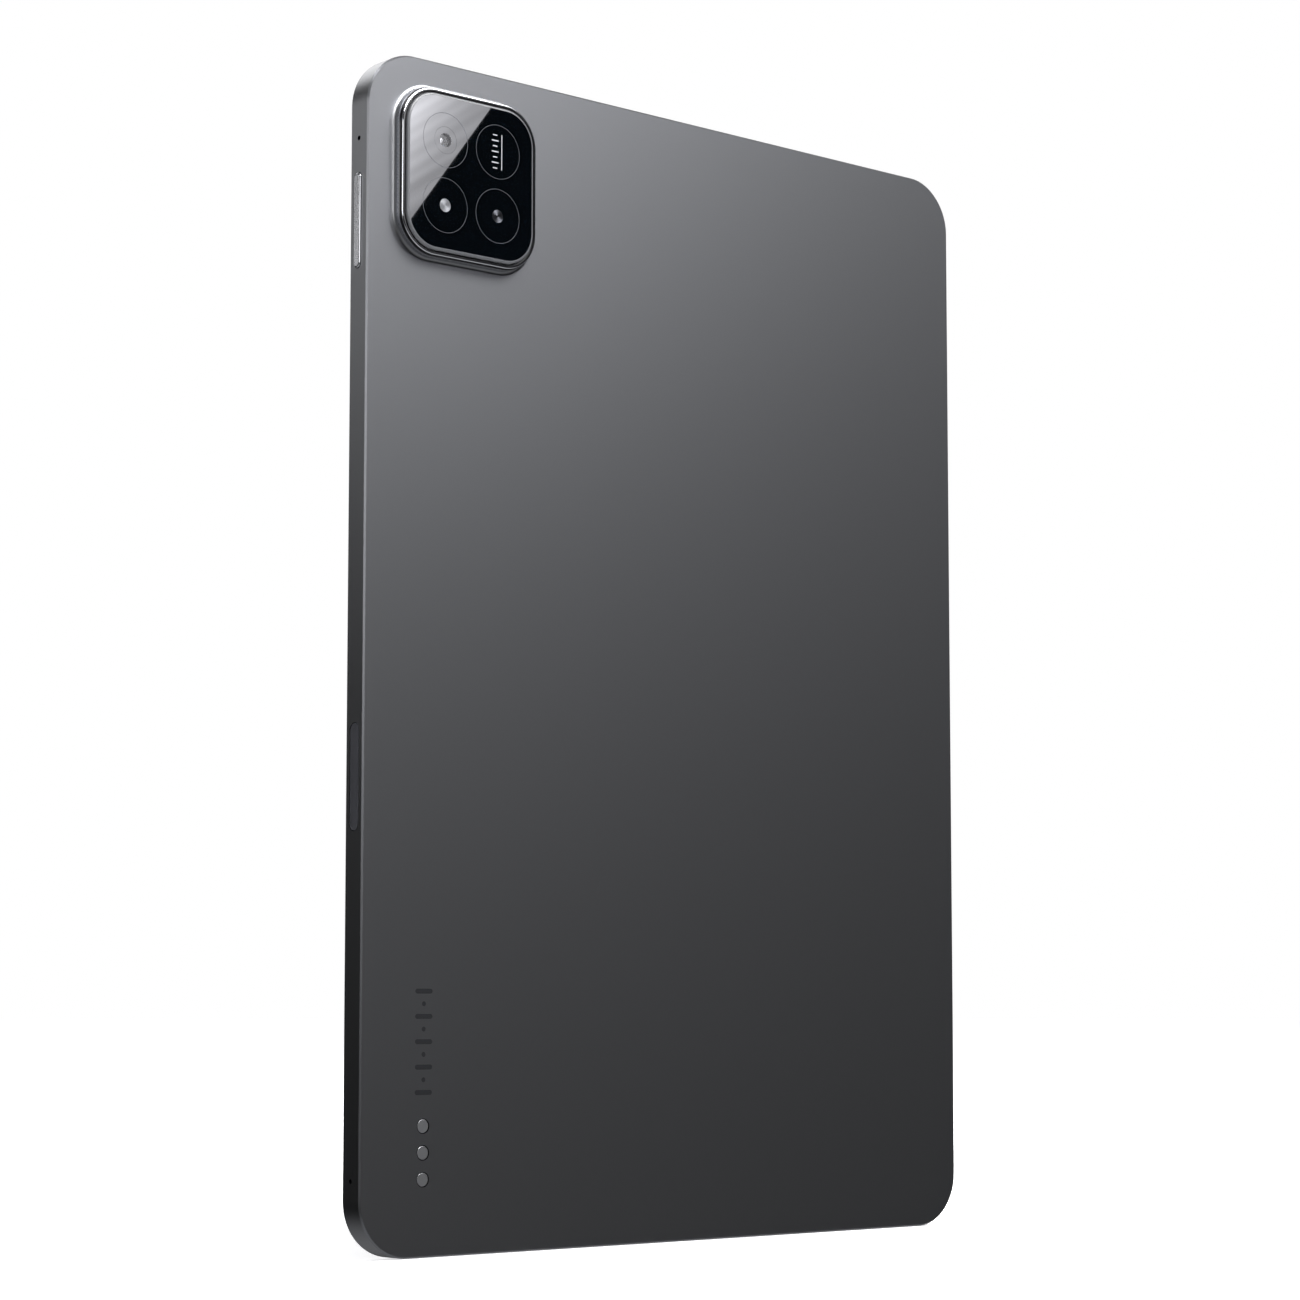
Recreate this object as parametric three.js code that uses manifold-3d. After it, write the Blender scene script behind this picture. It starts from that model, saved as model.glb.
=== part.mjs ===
// Tablet computer, standing upright on its bottom edge.
// X runs across the short side, Z up the long side, and Y through the thickness:
// the screen faces -Y, the back faces +Y, and the volume key is on the +X side.
// The device is drawn with x = 0 on its centre line, y = 0 at mid-thickness and z = 0 at its
// bottom edge; the finished group is then moved so that its box stands centred on the origin.

import * as THREE from 'three';
import { mergeVertices } from 'three/addons/utils/BufferGeometryUtils.js';
import Module from 'manifold-3d';

const wasm = await Module();
wasm.setup();

// ---- Driving dimensions, in millimetres ----

// Housing
const WIDTH = 173.42;
const HEIGHT = 251.22;
const THICKNESS = 6.18; // without the camera island
const CORNER_RADIUS = 12;
const EDGE_CHAMFER = 0.35;
const BACK_WALL = 0.8;
const SIDE_WALL = 2;

// Gaps
const FILM = 0.05; // a film of adhesive
const FIT = 0.1; // nested or stacked pieces
const SLIDE = 0.15; // all round a key in its slot
const LIFT = 0.25; // between the display and what lies behind it

// Display
const RIM = 0.7; // metal that shows round the glass
const RIM_SETBACK = 0.1; // metal rim below the face of the glass
const GLASS = 0.6;
const GLASS_BEVEL = 0.2;
const GASKET = 0.25;
const ADHESIVE = 0.15;
const BEZEL_SIDE = 7.81; // from the housing's side to the lit screen
const BEZEL_END = 7.26; // from the housing's end to the lit screen
const CELL_BORDER = 1.2; // liquid crystal cell past the lit screen
const CELL = 0.55;
const BACKLIGHT = 0.85;

// Camera island
const ISLAND_FROM_SIDE = 25; // centre, from the +X side
const ISLAND_FROM_TOP = 24.6;
const ISLAND_GLASS = 33.8; // width and height of the glass
const ISLAND_GLASS_RADIUS = 7.6;
const ISLAND_GLASS_BEVEL = 0.3;
const ISLAND_GROOVE = 0.45; // dark gap round the glass
const ISLAND_RIM = 0.5; // bright rim
const ISLAND_STEP = 0.3; // frame past the rim
const PEDESTAL_SLOPE = 0.85; // pedestal past the frame, at its foot
const PEDESTAL_RISE = 0.8; // heights above the back, from here on
const FRAME_TOP = 1.85;
const BAND_TOP = 2.3;
const RIM_TOP = 2.5;
const ISLAND_TOP = 3;
const LENS_PITCH = 14; // between the four round places on the glass

// Cameras and light
const CAMERA_BODY = 9.4;
const CAMERA_BODY_TOP = 0.6; // above the back
const CAMERA_BOARD = 0.5;
const BARREL_RADIUS = 3.2;
const BARREL_TOP = 1.4; // above the back
const BARREL_LENGTH = 3;
const FOCUS_TRAVEL = 0.25;
const LENS_RADIUS = 2.2;
const LENS_SAG = 0.3;
const LENS_COVER_RADIUS = 2.9;
const LAMP_RADIUS = 1.43;
const LAMP_CHIP = 0.9;
const FRONT_CAMERA = 3.9;
const FRONT_CAMERA_HEIGHT = 6;

// Keys
const KEY_WIDTH = 2.1;
const KEY_PROUD = 0.4;
const KEY_BEVEL = 0.15;
const KEY_Y = -0.15;
const VOLUME_LENGTH = 20.2;
const VOLUME_FROM_TOP = 36.6;
const VOLUME_LEVER = 6; // from the key's middle to each switch
const POWER_LENGTH = 14;
const POWER_FROM_SIDE = 20.7;
const POWER_TRAVEL = 0.25;
const POWER_SETBACK = 0.05; // its face lies this far below the top edge
const FLANGE = 0.5;
const FLANGE_SPREAD = 1; // at each end of a key, inside the wall
const FLANGE_LIP = 0.45; // at each side
const FLANGE_GAP = 0.3;
const NUB = 0.3;
const NUB_RADIUS = 0.8;
const SWITCH_GAP = 0.35;
const DOME = 0.3;
const DOME_RADIUS = 1.2;
const FLEX = 0.1;
const KEY_FLEX = 0.2;
const KEY_BRACKET = 0.8;

// Battery
const CELLS_FROM_BOTTOM = 45;
const CELLS_FROM_TOP = 73;
const CELL_GAP = 3; // between the two cells
const SIDE_BAY = 6.2; // between a cell and the side wall
const CELL_CORNER = 2;
const BATTERY_BOARD_WIDTH = 39;
const BATTERY_BOARD_GAP = 1; // to the cells, and to the main board

// Boards
const BOARD = 0.8;
const BOSS = 0.6;
const BOSS_RADIUS = 1.8;
const MAIN_BOARD_HEIGHT = 42;
const BOARD_MARGIN = 3;
const SCREW_INSET = 4;
const SCREW_RADIUS = 0.65;
const SCREW_HEAD_RADIUS = 1.2;
const SCREW_HEAD = 0.5;
const SCREW_CLEARANCE = 0.2;
const SHIELD_LIFT = 0.4; // between a shield and the display
const SHIELD_SIDE_MARGIN = 15.5; // from the board's left edge
const SHIELD_FLEX_MARGIN = 3; // from a flat cable
const GRAPHITE = 0.1;
const DISPLAY_FLEX_WIDTH = 18;
const MAIN_FLEX_WIDTH = 10;
const USB_BOARD_WIDTH = 40;
const USB_BOARD_HEIGHT = 18;

// USB-C receptacle
const USB_WIDTH = 8.94;
const USB_HEIGHT = 3.2;
const USB_WALL = 0.25;
const USB_DEPTH = 5.2;
const USB_SETBACK = 0.4;
const TONGUE_WIDTH = 6.7;
const TONGUE = 0.7;
const TONGUE_LENGTH = 4.2;

// Speakers
const SPEAKER_WIDTH = 32;
const SPEAKER_HEIGHT = 18;
const SPEAKER_FROM_CENTRE = 40;
const SPEAKER_GAP = 1; // from the end wall
const GRILLE_HOLES = 10;
const GRILLE_PITCH = 2.2;
const GRILLE_RADIUS = 0.5;

// Contacts for a keyboard, in the back
const POGO_COUNT = 3;
const POGO_FROM_SIDE = 15.96;
const POGO_FROM_BOTTOM = 15.9;
const POGO_PITCH = 5.45;
const POGO_RADIUS = 1.38;
const POGO_COLLAR = 0.1;
const POGO_CLEARANCE = 0.05;
const POGO_PLATE = 0.6;
const POGO_MARGIN = 1;
const POGO_FOOT = 0.3;

// Pen charging, in the +X side
const PEN_BELOW_MIDDLE = 27.31;
const PEN_LENGTH = 22.4;
const PEN_WIDTH = 3.23;
const PEN_Y = 0.085;
const PEN_COIL = 1.2;
const MAGNET_LENGTH = 9;
const MAGNET = 1.5;
const MAGNET_GAP = 2;

// Microphones, behind holes in the +X side
const MIC_FROM_TOP = 19.12;
const MIC_FROM_BOTTOM = 15.9;
const MIC_HOLE = 0.5;
const MIC_WIDTH = 2.8;
const MIC_DEPTH = 1.1;

// Aerials
const AERIAL_WIDTH = 18;
const AERIAL_HEIGHT = 6;
const AERIAL_THICKNESS = 2;
const AERIAL_INSET = 6.7;
const AERIAL_FROM_END = 3;

// ---- Values that follow from them ----

const FRONT = -THICKNESS / 2;
const BACK = THICKNESS / 2;
const RIGHT = WIDTH / 2;
const INNER_BACK = BACK - BACK_WALL;
const INNER_RIGHT = RIGHT - SIDE_WALL;
const INNER_TOP = HEIGHT - SIDE_WALL;

const GASKET_INSET = RIM + FIT;
const GLASS_INSET = GASKET_INSET + GASKET + FIT;
const ADHESIVE_FRONT = FRONT + GLASS + FILM;
const LEDGE = ADHESIVE_FRONT + ADHESIVE + FILM;
const CELL_FRONT = FRONT + GLASS + FIT;
const BACKLIGHT_FRONT = CELL_FRONT + CELL + FILM;
const DISPLAY_BACK = BACKLIGHT_FRONT + BACKLIGHT;
const CELL_WIDTH = WIDTH - 2 * (BEZEL_SIDE - CELL_BORDER);
const CELL_HEIGHT = HEIGHT - 2 * (BEZEL_END - CELL_BORDER);

const ISLAND_X = RIGHT - ISLAND_FROM_SIDE;
const ISLAND_Z = HEIGHT - ISLAND_FROM_TOP;
const RIM_OFFSET = ISLAND_GROOVE + ISLAND_RIM;
const FRAME_OFFSET = RIM_OFFSET + ISLAND_STEP;
const CAMERA_AT = new THREE.Vector2(LENS_PITCH / 2, LENS_PITCH / 2);
const LAMP_AT = new THREE.Vector2(LENS_PITCH / 2, -LENS_PITCH / 2);
const SENSOR_AT = new THREE.Vector2(-LENS_PITCH / 2, -LENS_PITCH / 2);

const BOARD_BACK = INNER_BACK - BOSS - FIT;
const BOARD_FRONT = BOARD_BACK - BOARD;
const MAIN_BOARD_LEFT = -INNER_RIGHT + BOARD_MARGIN;
const MAIN_BOARD_RIGHT = ISLAND_X - LENS_PITCH;
const MAIN_BOARD_BOTTOM = HEIGHT - CELLS_FROM_TOP + 2 * BOARD_MARGIN;
const MAIN_BOARD_TOP = MAIN_BOARD_BOTTOM + MAIN_BOARD_HEIGHT;
const DISPLAY_FLEX_RIGHT = MAIN_BOARD_RIGHT - 2 * SCREW_INSET; // clear of the screw heads
const MAIN_FLEX_X = -USB_BOARD_WIDTH / 4 - MAIN_FLEX_WIDTH / 2;
const SCREW_PLACES = [
  [MAIN_BOARD_LEFT + SCREW_INSET, MAIN_BOARD_BOTTOM + SCREW_INSET],
  [MAIN_BOARD_RIGHT - SCREW_INSET, MAIN_BOARD_BOTTOM + SCREW_INSET],
  [MAIN_BOARD_LEFT + SCREW_INSET, MAIN_BOARD_TOP - SCREW_INSET],
  [MAIN_BOARD_RIGHT - SCREW_INSET, MAIN_BOARD_TOP - SCREW_INSET],
];

const VOLUME_Z = HEIGHT - VOLUME_FROM_TOP;
const POWER_X = RIGHT - POWER_FROM_SIDE;
const POGO_X = RIGHT - POGO_FROM_SIDE;
const PEN_Z = HEIGHT / 2 - PEN_BELOW_MIDDLE;
const POGO_ROW = (POGO_COUNT - 1) * POGO_PITCH;
const MIC_PLACES = { upper: HEIGHT - MIC_FROM_TOP, lower: MIC_FROM_BOTTOM };

// ---- Materials ----

const material = (color, roughness, metalness) =>
  new THREE.MeshStandardMaterial({ color, roughness, metalness });

const MATERIALS = {
  housing: material('#55575b', 0.42, 0.85),
  polished: material('#b9bbbf', 0.15, 1),
  frame: material('#6d6f73', 0.3, 0.9),
  black: material('#0c0c0e', 0.35, 0),
  glass: material('#060608', 0.06, 0),
  lens: material('#12151c', 0.04, 0),
  silver: material('#c9cacc', 0.25, 1),
  contact: material('#9fa0a3', 0.35, 1),
  sealing: material('#1b1c1e', 0.7, 0),
  panel: material('#20242b', 0.3, 0.1),
  steel: material('#9a9da1', 0.35, 1),
  pouch: material('#2c2d31', 0.5, 0.3),
  board: material('#14402f', 0.5, 0.1),
  flex: material('#8a5a1e', 0.5, 0.1),
  plastic: material('#222326', 0.6, 0),
  magnet: material('#8c8e92', 0.3, 1),
  graphite: material('#2a2b2d', 0.45, 0.4),
};

// ---- Outlines ----

const QUARTER = Math.PI / 2;

function arc(x, y, radius, start, turn, steps) {
  return Array.from({ length: steps + 1 }, (_, i) => {
    const angle = start + (turn * i) / steps;
    return new THREE.Vector2(x + radius * Math.cos(angle), y + radius * Math.sin(angle));
  });
}

function circle(x, y, radius, steps = 24) {
  return new THREE.Shape(arc(x, y, radius, 0, 4 * QUARTER, steps).slice(0, steps));
}

// A rectangle centred on (x, y), with round corners
function roundedRectangle(x, y, width, height, radius, steps = 8) {
  const [a, b] = [width / 2 - radius, height / 2 - radius];
  const corners = [[a, b], [-a, b], [-a, -b], [a, -b]];
  return new THREE.Shape(
    corners.flatMap(([u, v], i) => arc(x + u, y + v, radius, i * QUARTER, QUARTER, steps)),
  );
}

function rectangle(low, high) {
  return new THREE.Shape([
    new THREE.Vector2(low[0], low[1]),
    new THREE.Vector2(high[0], low[1]),
    new THREE.Vector2(high[0], high[1]),
    new THREE.Vector2(low[0], high[1]),
  ]);
}

// A slot with round ends that lies along the outline's first axis, or stands along its second
function capsule(x, y, length, width, standing = false, steps = 8) {
  const reach = (length - width) / 2;
  const [dx, dy] = standing ? [0, reach] : [reach, 0];
  const start = standing ? 0 : -QUARTER;
  return new THREE.Shape([
    ...arc(x + dx, y + dy, width / 2, start, 2 * QUARTER, steps),
    ...arc(x - dx, y - dy, width / 2, start + 2 * QUARTER, 2 * QUARTER, steps),
  ]);
}

function withHoles(shape, ...holes) {
  shape.holes.push(...holes);
  return shape;
}

const housingOutline = (inset) =>
  roundedRectangle(
    0,
    HEIGHT / 2,
    WIDTH - 2 * inset,
    HEIGHT - 2 * inset,
    Math.max(CORNER_RADIUS - inset, 1),
    12,
  );

// Outlines on the island are drawn about the island's own centre
const islandOutline = (offset) =>
  roundedRectangle(
    0,
    0,
    ISLAND_GLASS + 2 * offset,
    ISLAND_GLASS + 2 * offset,
    ISLAND_GLASS_RADIUS + offset,
  );

// ---- Solids ----

// An outline is drawn flat, then turned to face one of three ways. "back" outlines hold x and z,
// "side" outlines y and z, and "end" outlines x and y. low and high are the solid's limits along
// the remaining axis.
const AXIS = {
  x: new THREE.Vector3(1, 0, 0),
  y: new THREE.Vector3(0, 1, 0),
  z: new THREE.Vector3(0, 0, 1),
};
const FACING = {
  back: { columns: [AXIS.x, AXIS.z, AXIS.y.clone().negate()], start: (low, high) => [0, high, 0] },
  side: { columns: [AXIS.y, AXIS.z, AXIS.x], start: (low) => [low, 0, 0] },
  end: { columns: [AXIS.x, AXIS.y, AXIS.z], start: (low) => [0, 0, low] },
};

// bevel is how far both rims draw in, rise how tall that bevel is
function slab(facing, outline, low, high, bevel = 0, rise = bevel) {
  const geometry = new THREE.ExtrudeGeometry(outline, {
    depth: high - low - 2 * rise,
    bevelEnabled: bevel > 0,
    bevelSize: bevel,
    bevelOffset: -bevel,
    bevelThickness: rise,
    bevelSegments: 1,
  });
  const { columns, start } = FACING[facing];
  geometry.translate(0, 0, rise);
  geometry.applyMatrix4(new THREE.Matrix4().makeBasis(...columns));
  return geometry.translate(...start(low, high));
}

const box = (low, high) => slab('end', rectangle(low, high), low[2], high[2]);

// A round solid about the Y axis, from points of radius and height
function turned(points, steps = 24) {
  return new THREE.LatheGeometry(points.map(([r, y]) => new THREE.Vector2(r, y)), steps);
}

function toSolid(geometry) {
  const bare = geometry.clone();
  bare.deleteAttribute('normal');
  bare.deleteAttribute('uv');
  const merged = mergeVertices(bare, 1e-4);
  return new wasm.Manifold(
    new wasm.Mesh({
      numProp: 3,
      vertProperties: merged.attributes.position.array,
      triVerts: new Uint32Array(merged.index.array),
    }),
  );
}

function toGeometry(solid) {
  const { vertProperties, triVerts } = solid.getMesh();
  const geometry = new THREE.BufferGeometry();
  geometry.setAttribute('position', new THREE.BufferAttribute(vertProperties, 3));
  geometry.setIndex(new THREE.BufferAttribute(triVerts, 1));
  geometry.computeVertexNormals();
  return geometry;
}

const join = (...parts) => toGeometry(parts.map(toSolid).reduce((sum, next) => sum.add(next)));
const cut = (body, ...tools) =>
  toGeometry(tools.map(toSolid).reduce((left, tool) => left.subtract(tool), toSolid(body)));

// ---- The assembly ----

const tablet = new THREE.Group();

function assembly(x = 0, y = 0, z = 0) {
  const group = new THREE.Group();
  group.position.set(x, y, z);
  tablet.add(group);
  return group;
}

function place(group, name, geometry, finish, position = [0, 0, 0]) {
  const mesh = new THREE.Mesh(geometry, finish);
  mesh.name = name;
  mesh.position.set(...position);
  group.add(mesh);
}

// ---- Rear cover: back and side walls in one piece ----

function volumeSlot() {
  const outline = capsule(KEY_Y, VOLUME_Z, VOLUME_LENGTH + 2 * SLIDE, KEY_WIDTH + 2 * SLIDE, true);
  return slab('side', outline, INNER_RIGHT - 1, RIGHT + 1);
}

function powerSlot() {
  const outline = capsule(POWER_X, KEY_Y, POWER_LENGTH + 2 * SLIDE, KEY_WIDTH + 2 * SLIDE);
  return slab('end', outline, INNER_TOP - 1, HEIGHT + 1);
}

function penSlot() {
  const outline = capsule(PEN_Y, PEN_Z, PEN_LENGTH, PEN_WIDTH, true);
  return slab('side', outline, INNER_RIGHT - 1, RIGHT + 1);
}

function usbSlot() {
  const outline = capsule(0, 0, USB_WIDTH + 2 * SLIDE, USB_HEIGHT + 2 * SLIDE);
  return slab('end', outline, -1, SIDE_WALL + 1);
}

function grilleHoles() {
  const holes = [];
  for (const side of [-1, 1]) {
    for (const low of [-1, INNER_TOP - 1]) {
      for (let i = 0; i < GRILLE_HOLES; i += 1) {
        const x = side * SPEAKER_FROM_CENTRE + (i - (GRILLE_HOLES - 1) / 2) * GRILLE_PITCH;
        holes.push(slab('end', circle(x, 0, GRILLE_RADIUS, 8), low, low + SIDE_WALL + 2));
      }
    }
  }
  return holes;
}

function microphoneHoles() {
  return Object.values(MIC_PLACES).map((z) =>
    slab('side', circle(0, z, MIC_HOLE, 12), INNER_RIGHT - 1, RIGHT + 1),
  );
}

function pogoHoles() {
  const radius = POGO_RADIUS + POGO_CLEARANCE + POGO_COLLAR + POGO_CLEARANCE;
  return Array.from({ length: POGO_COUNT }, (_, i) =>
    slab('back', circle(POGO_X, POGO_FROM_BOTTOM + i * POGO_PITCH, radius), INNER_BACK - 1, BACK + 1),
  );
}

function cameraHoles() {
  const size = CAMERA_BODY + 4 * FIT;
  const camera = roundedRectangle(ISLAND_X + CAMERA_AT.x, ISLAND_Z + CAMERA_AT.y, size, size, 1, 4);
  const round = [LAMP_AT, SENSOR_AT].map((at) =>
    circle(ISLAND_X + at.x, ISLAND_Z + at.y, LAMP_RADIUS + 4 * FIT),
  );
  return [camera, ...round].map((outline) =>
    slab('back', outline, INNER_BACK - 1, BACK + PEDESTAL_RISE + 1),
  );
}

function screwBoss([x, z]) {
  return slab('back', circle(x, z, BOSS_RADIUS, 16), INNER_BACK - BOSS, BACK - BACK_WALL / 2);
}

function screwHole([x, z]) {
  const outline = circle(x, z, SCREW_RADIUS + SCREW_CLEARANCE, 12);
  return slab('back', outline, INNER_BACK - BOSS - 1, BACK - BACK_WALL / 2);
}

function rearCover() {
  const block = slab('back', housingOutline(0), FRONT + RIM_SETBACK, BACK, EDGE_CHAMFER);
  const pedestal = slab(
    'back',
    islandOutline(FRAME_OFFSET + PEDESTAL_SLOPE),
    BACK - PEDESTAL_RISE - FIT,
    BACK + PEDESTAL_RISE,
    PEDESTAL_SLOPE,
    PEDESTAL_RISE,
  ).translate(ISLAND_X, 0, ISLAND_Z);
  const rebate = slab('back', housingOutline(RIM), FRONT - 1, LEDGE);
  const cavity = slab('back', housingOutline(SIDE_WALL), FRONT - 1, INNER_BACK);
  const tray = cut(join(block, pedestal), rebate, cavity);
  return cut(
    join(tray, ...SCREW_PLACES.map(screwBoss)),
    volumeSlot(),
    powerSlot(),
    penSlot(),
    usbSlot(),
    ...grilleHoles(),
    ...microphoneHoles(),
    ...pogoHoles(),
    ...cameraHoles(),
    ...SCREW_PLACES.map(screwHole),
  );
}

place(tablet, 'rear_cover', rearCover(), MATERIALS.housing);

// ---- Display ----

function addDisplay() {
  const display = assembly();
  const ring = (outer, inner) => withHoles(housingOutline(outer), housingOutline(inner));
  const panel = (inset) =>
    roundedRectangle(0, HEIGHT / 2, CELL_WIDTH - 2 * inset, CELL_HEIGHT - 2 * inset, 1, 4);
  const glass = slab('back', housingOutline(GLASS_INSET), FRONT, FRONT + GLASS, GLASS_BEVEL);
  const gasket = slab(
    'back',
    ring(GASKET_INSET, GASKET_INSET + GASKET),
    FRONT + RIM_SETBACK,
    LEDGE - FILM,
  );
  const adhesive = slab(
    'back',
    ring(GLASS_INSET, SIDE_WALL),
    ADHESIVE_FRONT,
    ADHESIVE_FRONT + ADHESIVE,
  );
  place(display, 'cover_glass', glass, MATERIALS.glass);
  place(display, 'display_gasket', gasket, MATERIALS.sealing);
  place(display, 'display_adhesive', adhesive, MATERIALS.sealing);
  place(display, 'lcd_panel', slab('back', panel(0), CELL_FRONT, CELL_FRONT + CELL), MATERIALS.panel);
  const light = slab('back', panel(FIT), BACKLIGHT_FRONT, DISPLAY_BACK);
  place(display, 'backlight_unit', light, MATERIALS.steel);
}

addDisplay();

// ---- Camera island: the rings and glass that stand on the pedestal ----

// The island's group has its origin on the back face, so heights above the back are plain y values
const island = assembly(ISLAND_X, BACK, ISLAND_Z);

const lensHoles = (camera, small) => [
  circle(CAMERA_AT.x, CAMERA_AT.y, camera),
  circle(LAMP_AT.x, LAMP_AT.y, small),
  circle(SENSOR_AT.x, SENSOR_AT.y, small),
];

function addIslandRings() {
  const ring = (outer, inner) => withHoles(islandOutline(outer), islandOutline(inner));
  const frame = withHoles(
    islandOutline(FRAME_OFFSET),
    ...lensHoles(BARREL_RADIUS + 4 * FIT, LAMP_RADIUS + 4 * FIT),
  );
  place(
    island,
    'island_frame',
    slab('back', frame, PEDESTAL_RISE + FILM, FRAME_TOP),
    MATERIALS.frame,
  );
  const band = ring(RIM_OFFSET, RIM_OFFSET - ISLAND_RIM / 2);
  place(island, 'island_band', slab('back', band, FRAME_TOP + FILM, BAND_TOP), MATERIALS.black);
  const rim = ring(RIM_OFFSET, ISLAND_GROOVE);
  place(island, 'island_rim', slab('back', rim, BAND_TOP + FILM, RIM_TOP), MATERIALS.polished);
  const gasket = ring(RIM_OFFSET - ISLAND_RIM / 2 - FIT, FILM);
  const floor = slab('back', gasket, FRAME_TOP + FILM, BAND_TOP - FIT);
  place(island, 'island_gasket', floor, MATERIALS.sealing);
}

function addIslandGlass() {
  const low = FRAME_TOP + FILM;
  const outline = withHoles(
    islandOutline(0),
    ...lensHoles(LENS_COVER_RADIUS + FIT, LAMP_RADIUS + FIT),
  );
  const pane = slab('back', islandOutline(0), low, ISLAND_TOP, ISLAND_GLASS_BEVEL);
  const drills = outline.holes.map((hole) => slab('back', hole, low - 1, ISLAND_TOP + 1));
  place(island, 'island_glass', cut(pane, ...drills), MATERIALS.glass);
  const inserts = [
    ['main_lens_cover', CAMERA_AT, LENS_COVER_RADIUS, MATERIALS.lens],
    ['flash_lens', LAMP_AT, LAMP_RADIUS, MATERIALS.silver],
    ['sensor_lens', SENSOR_AT, LAMP_RADIUS, MATERIALS.silver],
  ];
  for (const [name, at, radius, finish] of inserts) {
    const insert = slab('back', circle(at.x, at.y, radius), low, ISLAND_TOP);
    place(island, name, insert, finish);
  }
}

addIslandRings();
addIslandGlass();

// ---- Cameras and lamp, behind the island ----

function addMainCamera() {
  const bottom = DISPLAY_BACK - BACK + LIFT; // heights above the back, as in the island's group
  const boardTop = bottom + CAMERA_BOARD;
  const square = () => roundedRectangle(CAMERA_AT.x, CAMERA_AT.y, CAMERA_BODY, CAMERA_BODY, 0.6, 3);
  const board = slab('back', square(), bottom, boardTop);
  place(island, 'camera_board', board, MATERIALS.board);
  const bore = circle(CAMERA_AT.x, CAMERA_AT.y, BARREL_RADIUS + SLIDE);
  const wall = slab('back', withHoles(square(), bore), boardTop + FILM, CAMERA_BODY_TOP);
  place(island, 'camera_housing', wall, MATERIALS.plastic);

  const floor = BARREL_TOP - BARREL_LENGTH;
  const seat = BARREL_TOP - LENS_SAG - FIT;
  const barrel = turned([
    [0, floor],
    [BARREL_RADIUS, floor],
    [BARREL_RADIUS, BARREL_TOP],
    [LENS_RADIUS + FIT, BARREL_TOP],
    [LENS_RADIUS + FIT, seat - FIT],
    [0, seat - FIT],
  ]);
  place(island, 'lens_barrel', barrel, MATERIALS.black, [CAMERA_AT.x, 0, CAMERA_AT.y]);
  const dome = Array.from({ length: 5 }, (_, i) => {
    const share = (i / 4) * QUARTER;
    return [LENS_RADIUS * Math.cos(share), seat + LENS_SAG * Math.sin(share)];
  });
  dome[4][0] = 0;
  const element = turned([[0, seat - FILM], [LENS_RADIUS, seat - FILM], ...dome]);
  place(island, 'lens_element', element, MATERIALS.lens, [CAMERA_AT.x, 0, CAMERA_AT.y]);
}

// A small package with a round window, on its own square of board under the back wall
function addPackage(name, at, finish) {
  const top = FRAME_TOP - FIT;
  const foot = -BACK_WALL - FIT;
  const chip = slab('back', circle(at.x, at.y, LAMP_RADIUS), top - LAMP_CHIP, top);
  const stem = slab('back', circle(at.x, at.y, LAMP_RADIUS / 2, 12), foot, top - LAMP_CHIP / 2);
  const square = roundedRectangle(at.x, at.y, 4 * LAMP_RADIUS, 4 * LAMP_RADIUS, 0.5, 3);
  const base = slab('back', square, foot - BOARD, foot + FIT / 2);
  place(island, name, join(chip, stem, base), finish);
}

addMainCamera();
addPackage('flash_led', LAMP_AT, MATERIALS.silver);
addPackage('rear_sensor', SENSOR_AT, MATERIALS.steel);

// The front camera looks out through the middle of the bezel on the +X side
function addFrontCamera() {
  const x = (CELL_WIDTH / 2 + INNER_RIGHT) / 2;
  const z = HEIGHT / 2;
  const [a, b] = [FRONT_CAMERA / 2, FRONT_CAMERA_HEIGHT / 2];
  const bottom = CELL_FRONT + GLASS;
  const body = box([x - a, bottom, z - b], [x + a, DISPLAY_BACK + GLASS, z + b]);
  const barrel = slab('back', circle(x, z, a - FIT, 16), CELL_FRONT, bottom + FIT);
  place(tablet, 'front_camera', join(body, barrel), MATERIALS.plastic);
}

addFrontCamera();

// ---- Keys ----

// What lies inside the wall, measured in from the wall's inner face
const FLANGE_OUT = FLANGE_GAP;
const FLANGE_IN = FLANGE_OUT + FLANGE;
const NUB_IN = FLANGE_IN + NUB;
const DOME_OUT = NUB_IN + SWITCH_GAP;
const FLEX_OUT = DOME_OUT + DOME;
const FLEX_IN = FLEX_OUT + KEY_FLEX;
const BRACKET_OUT = FLEX_IN + FIT;
const BRACKET_IN = BRACKET_OUT + KEY_BRACKET;

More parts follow.
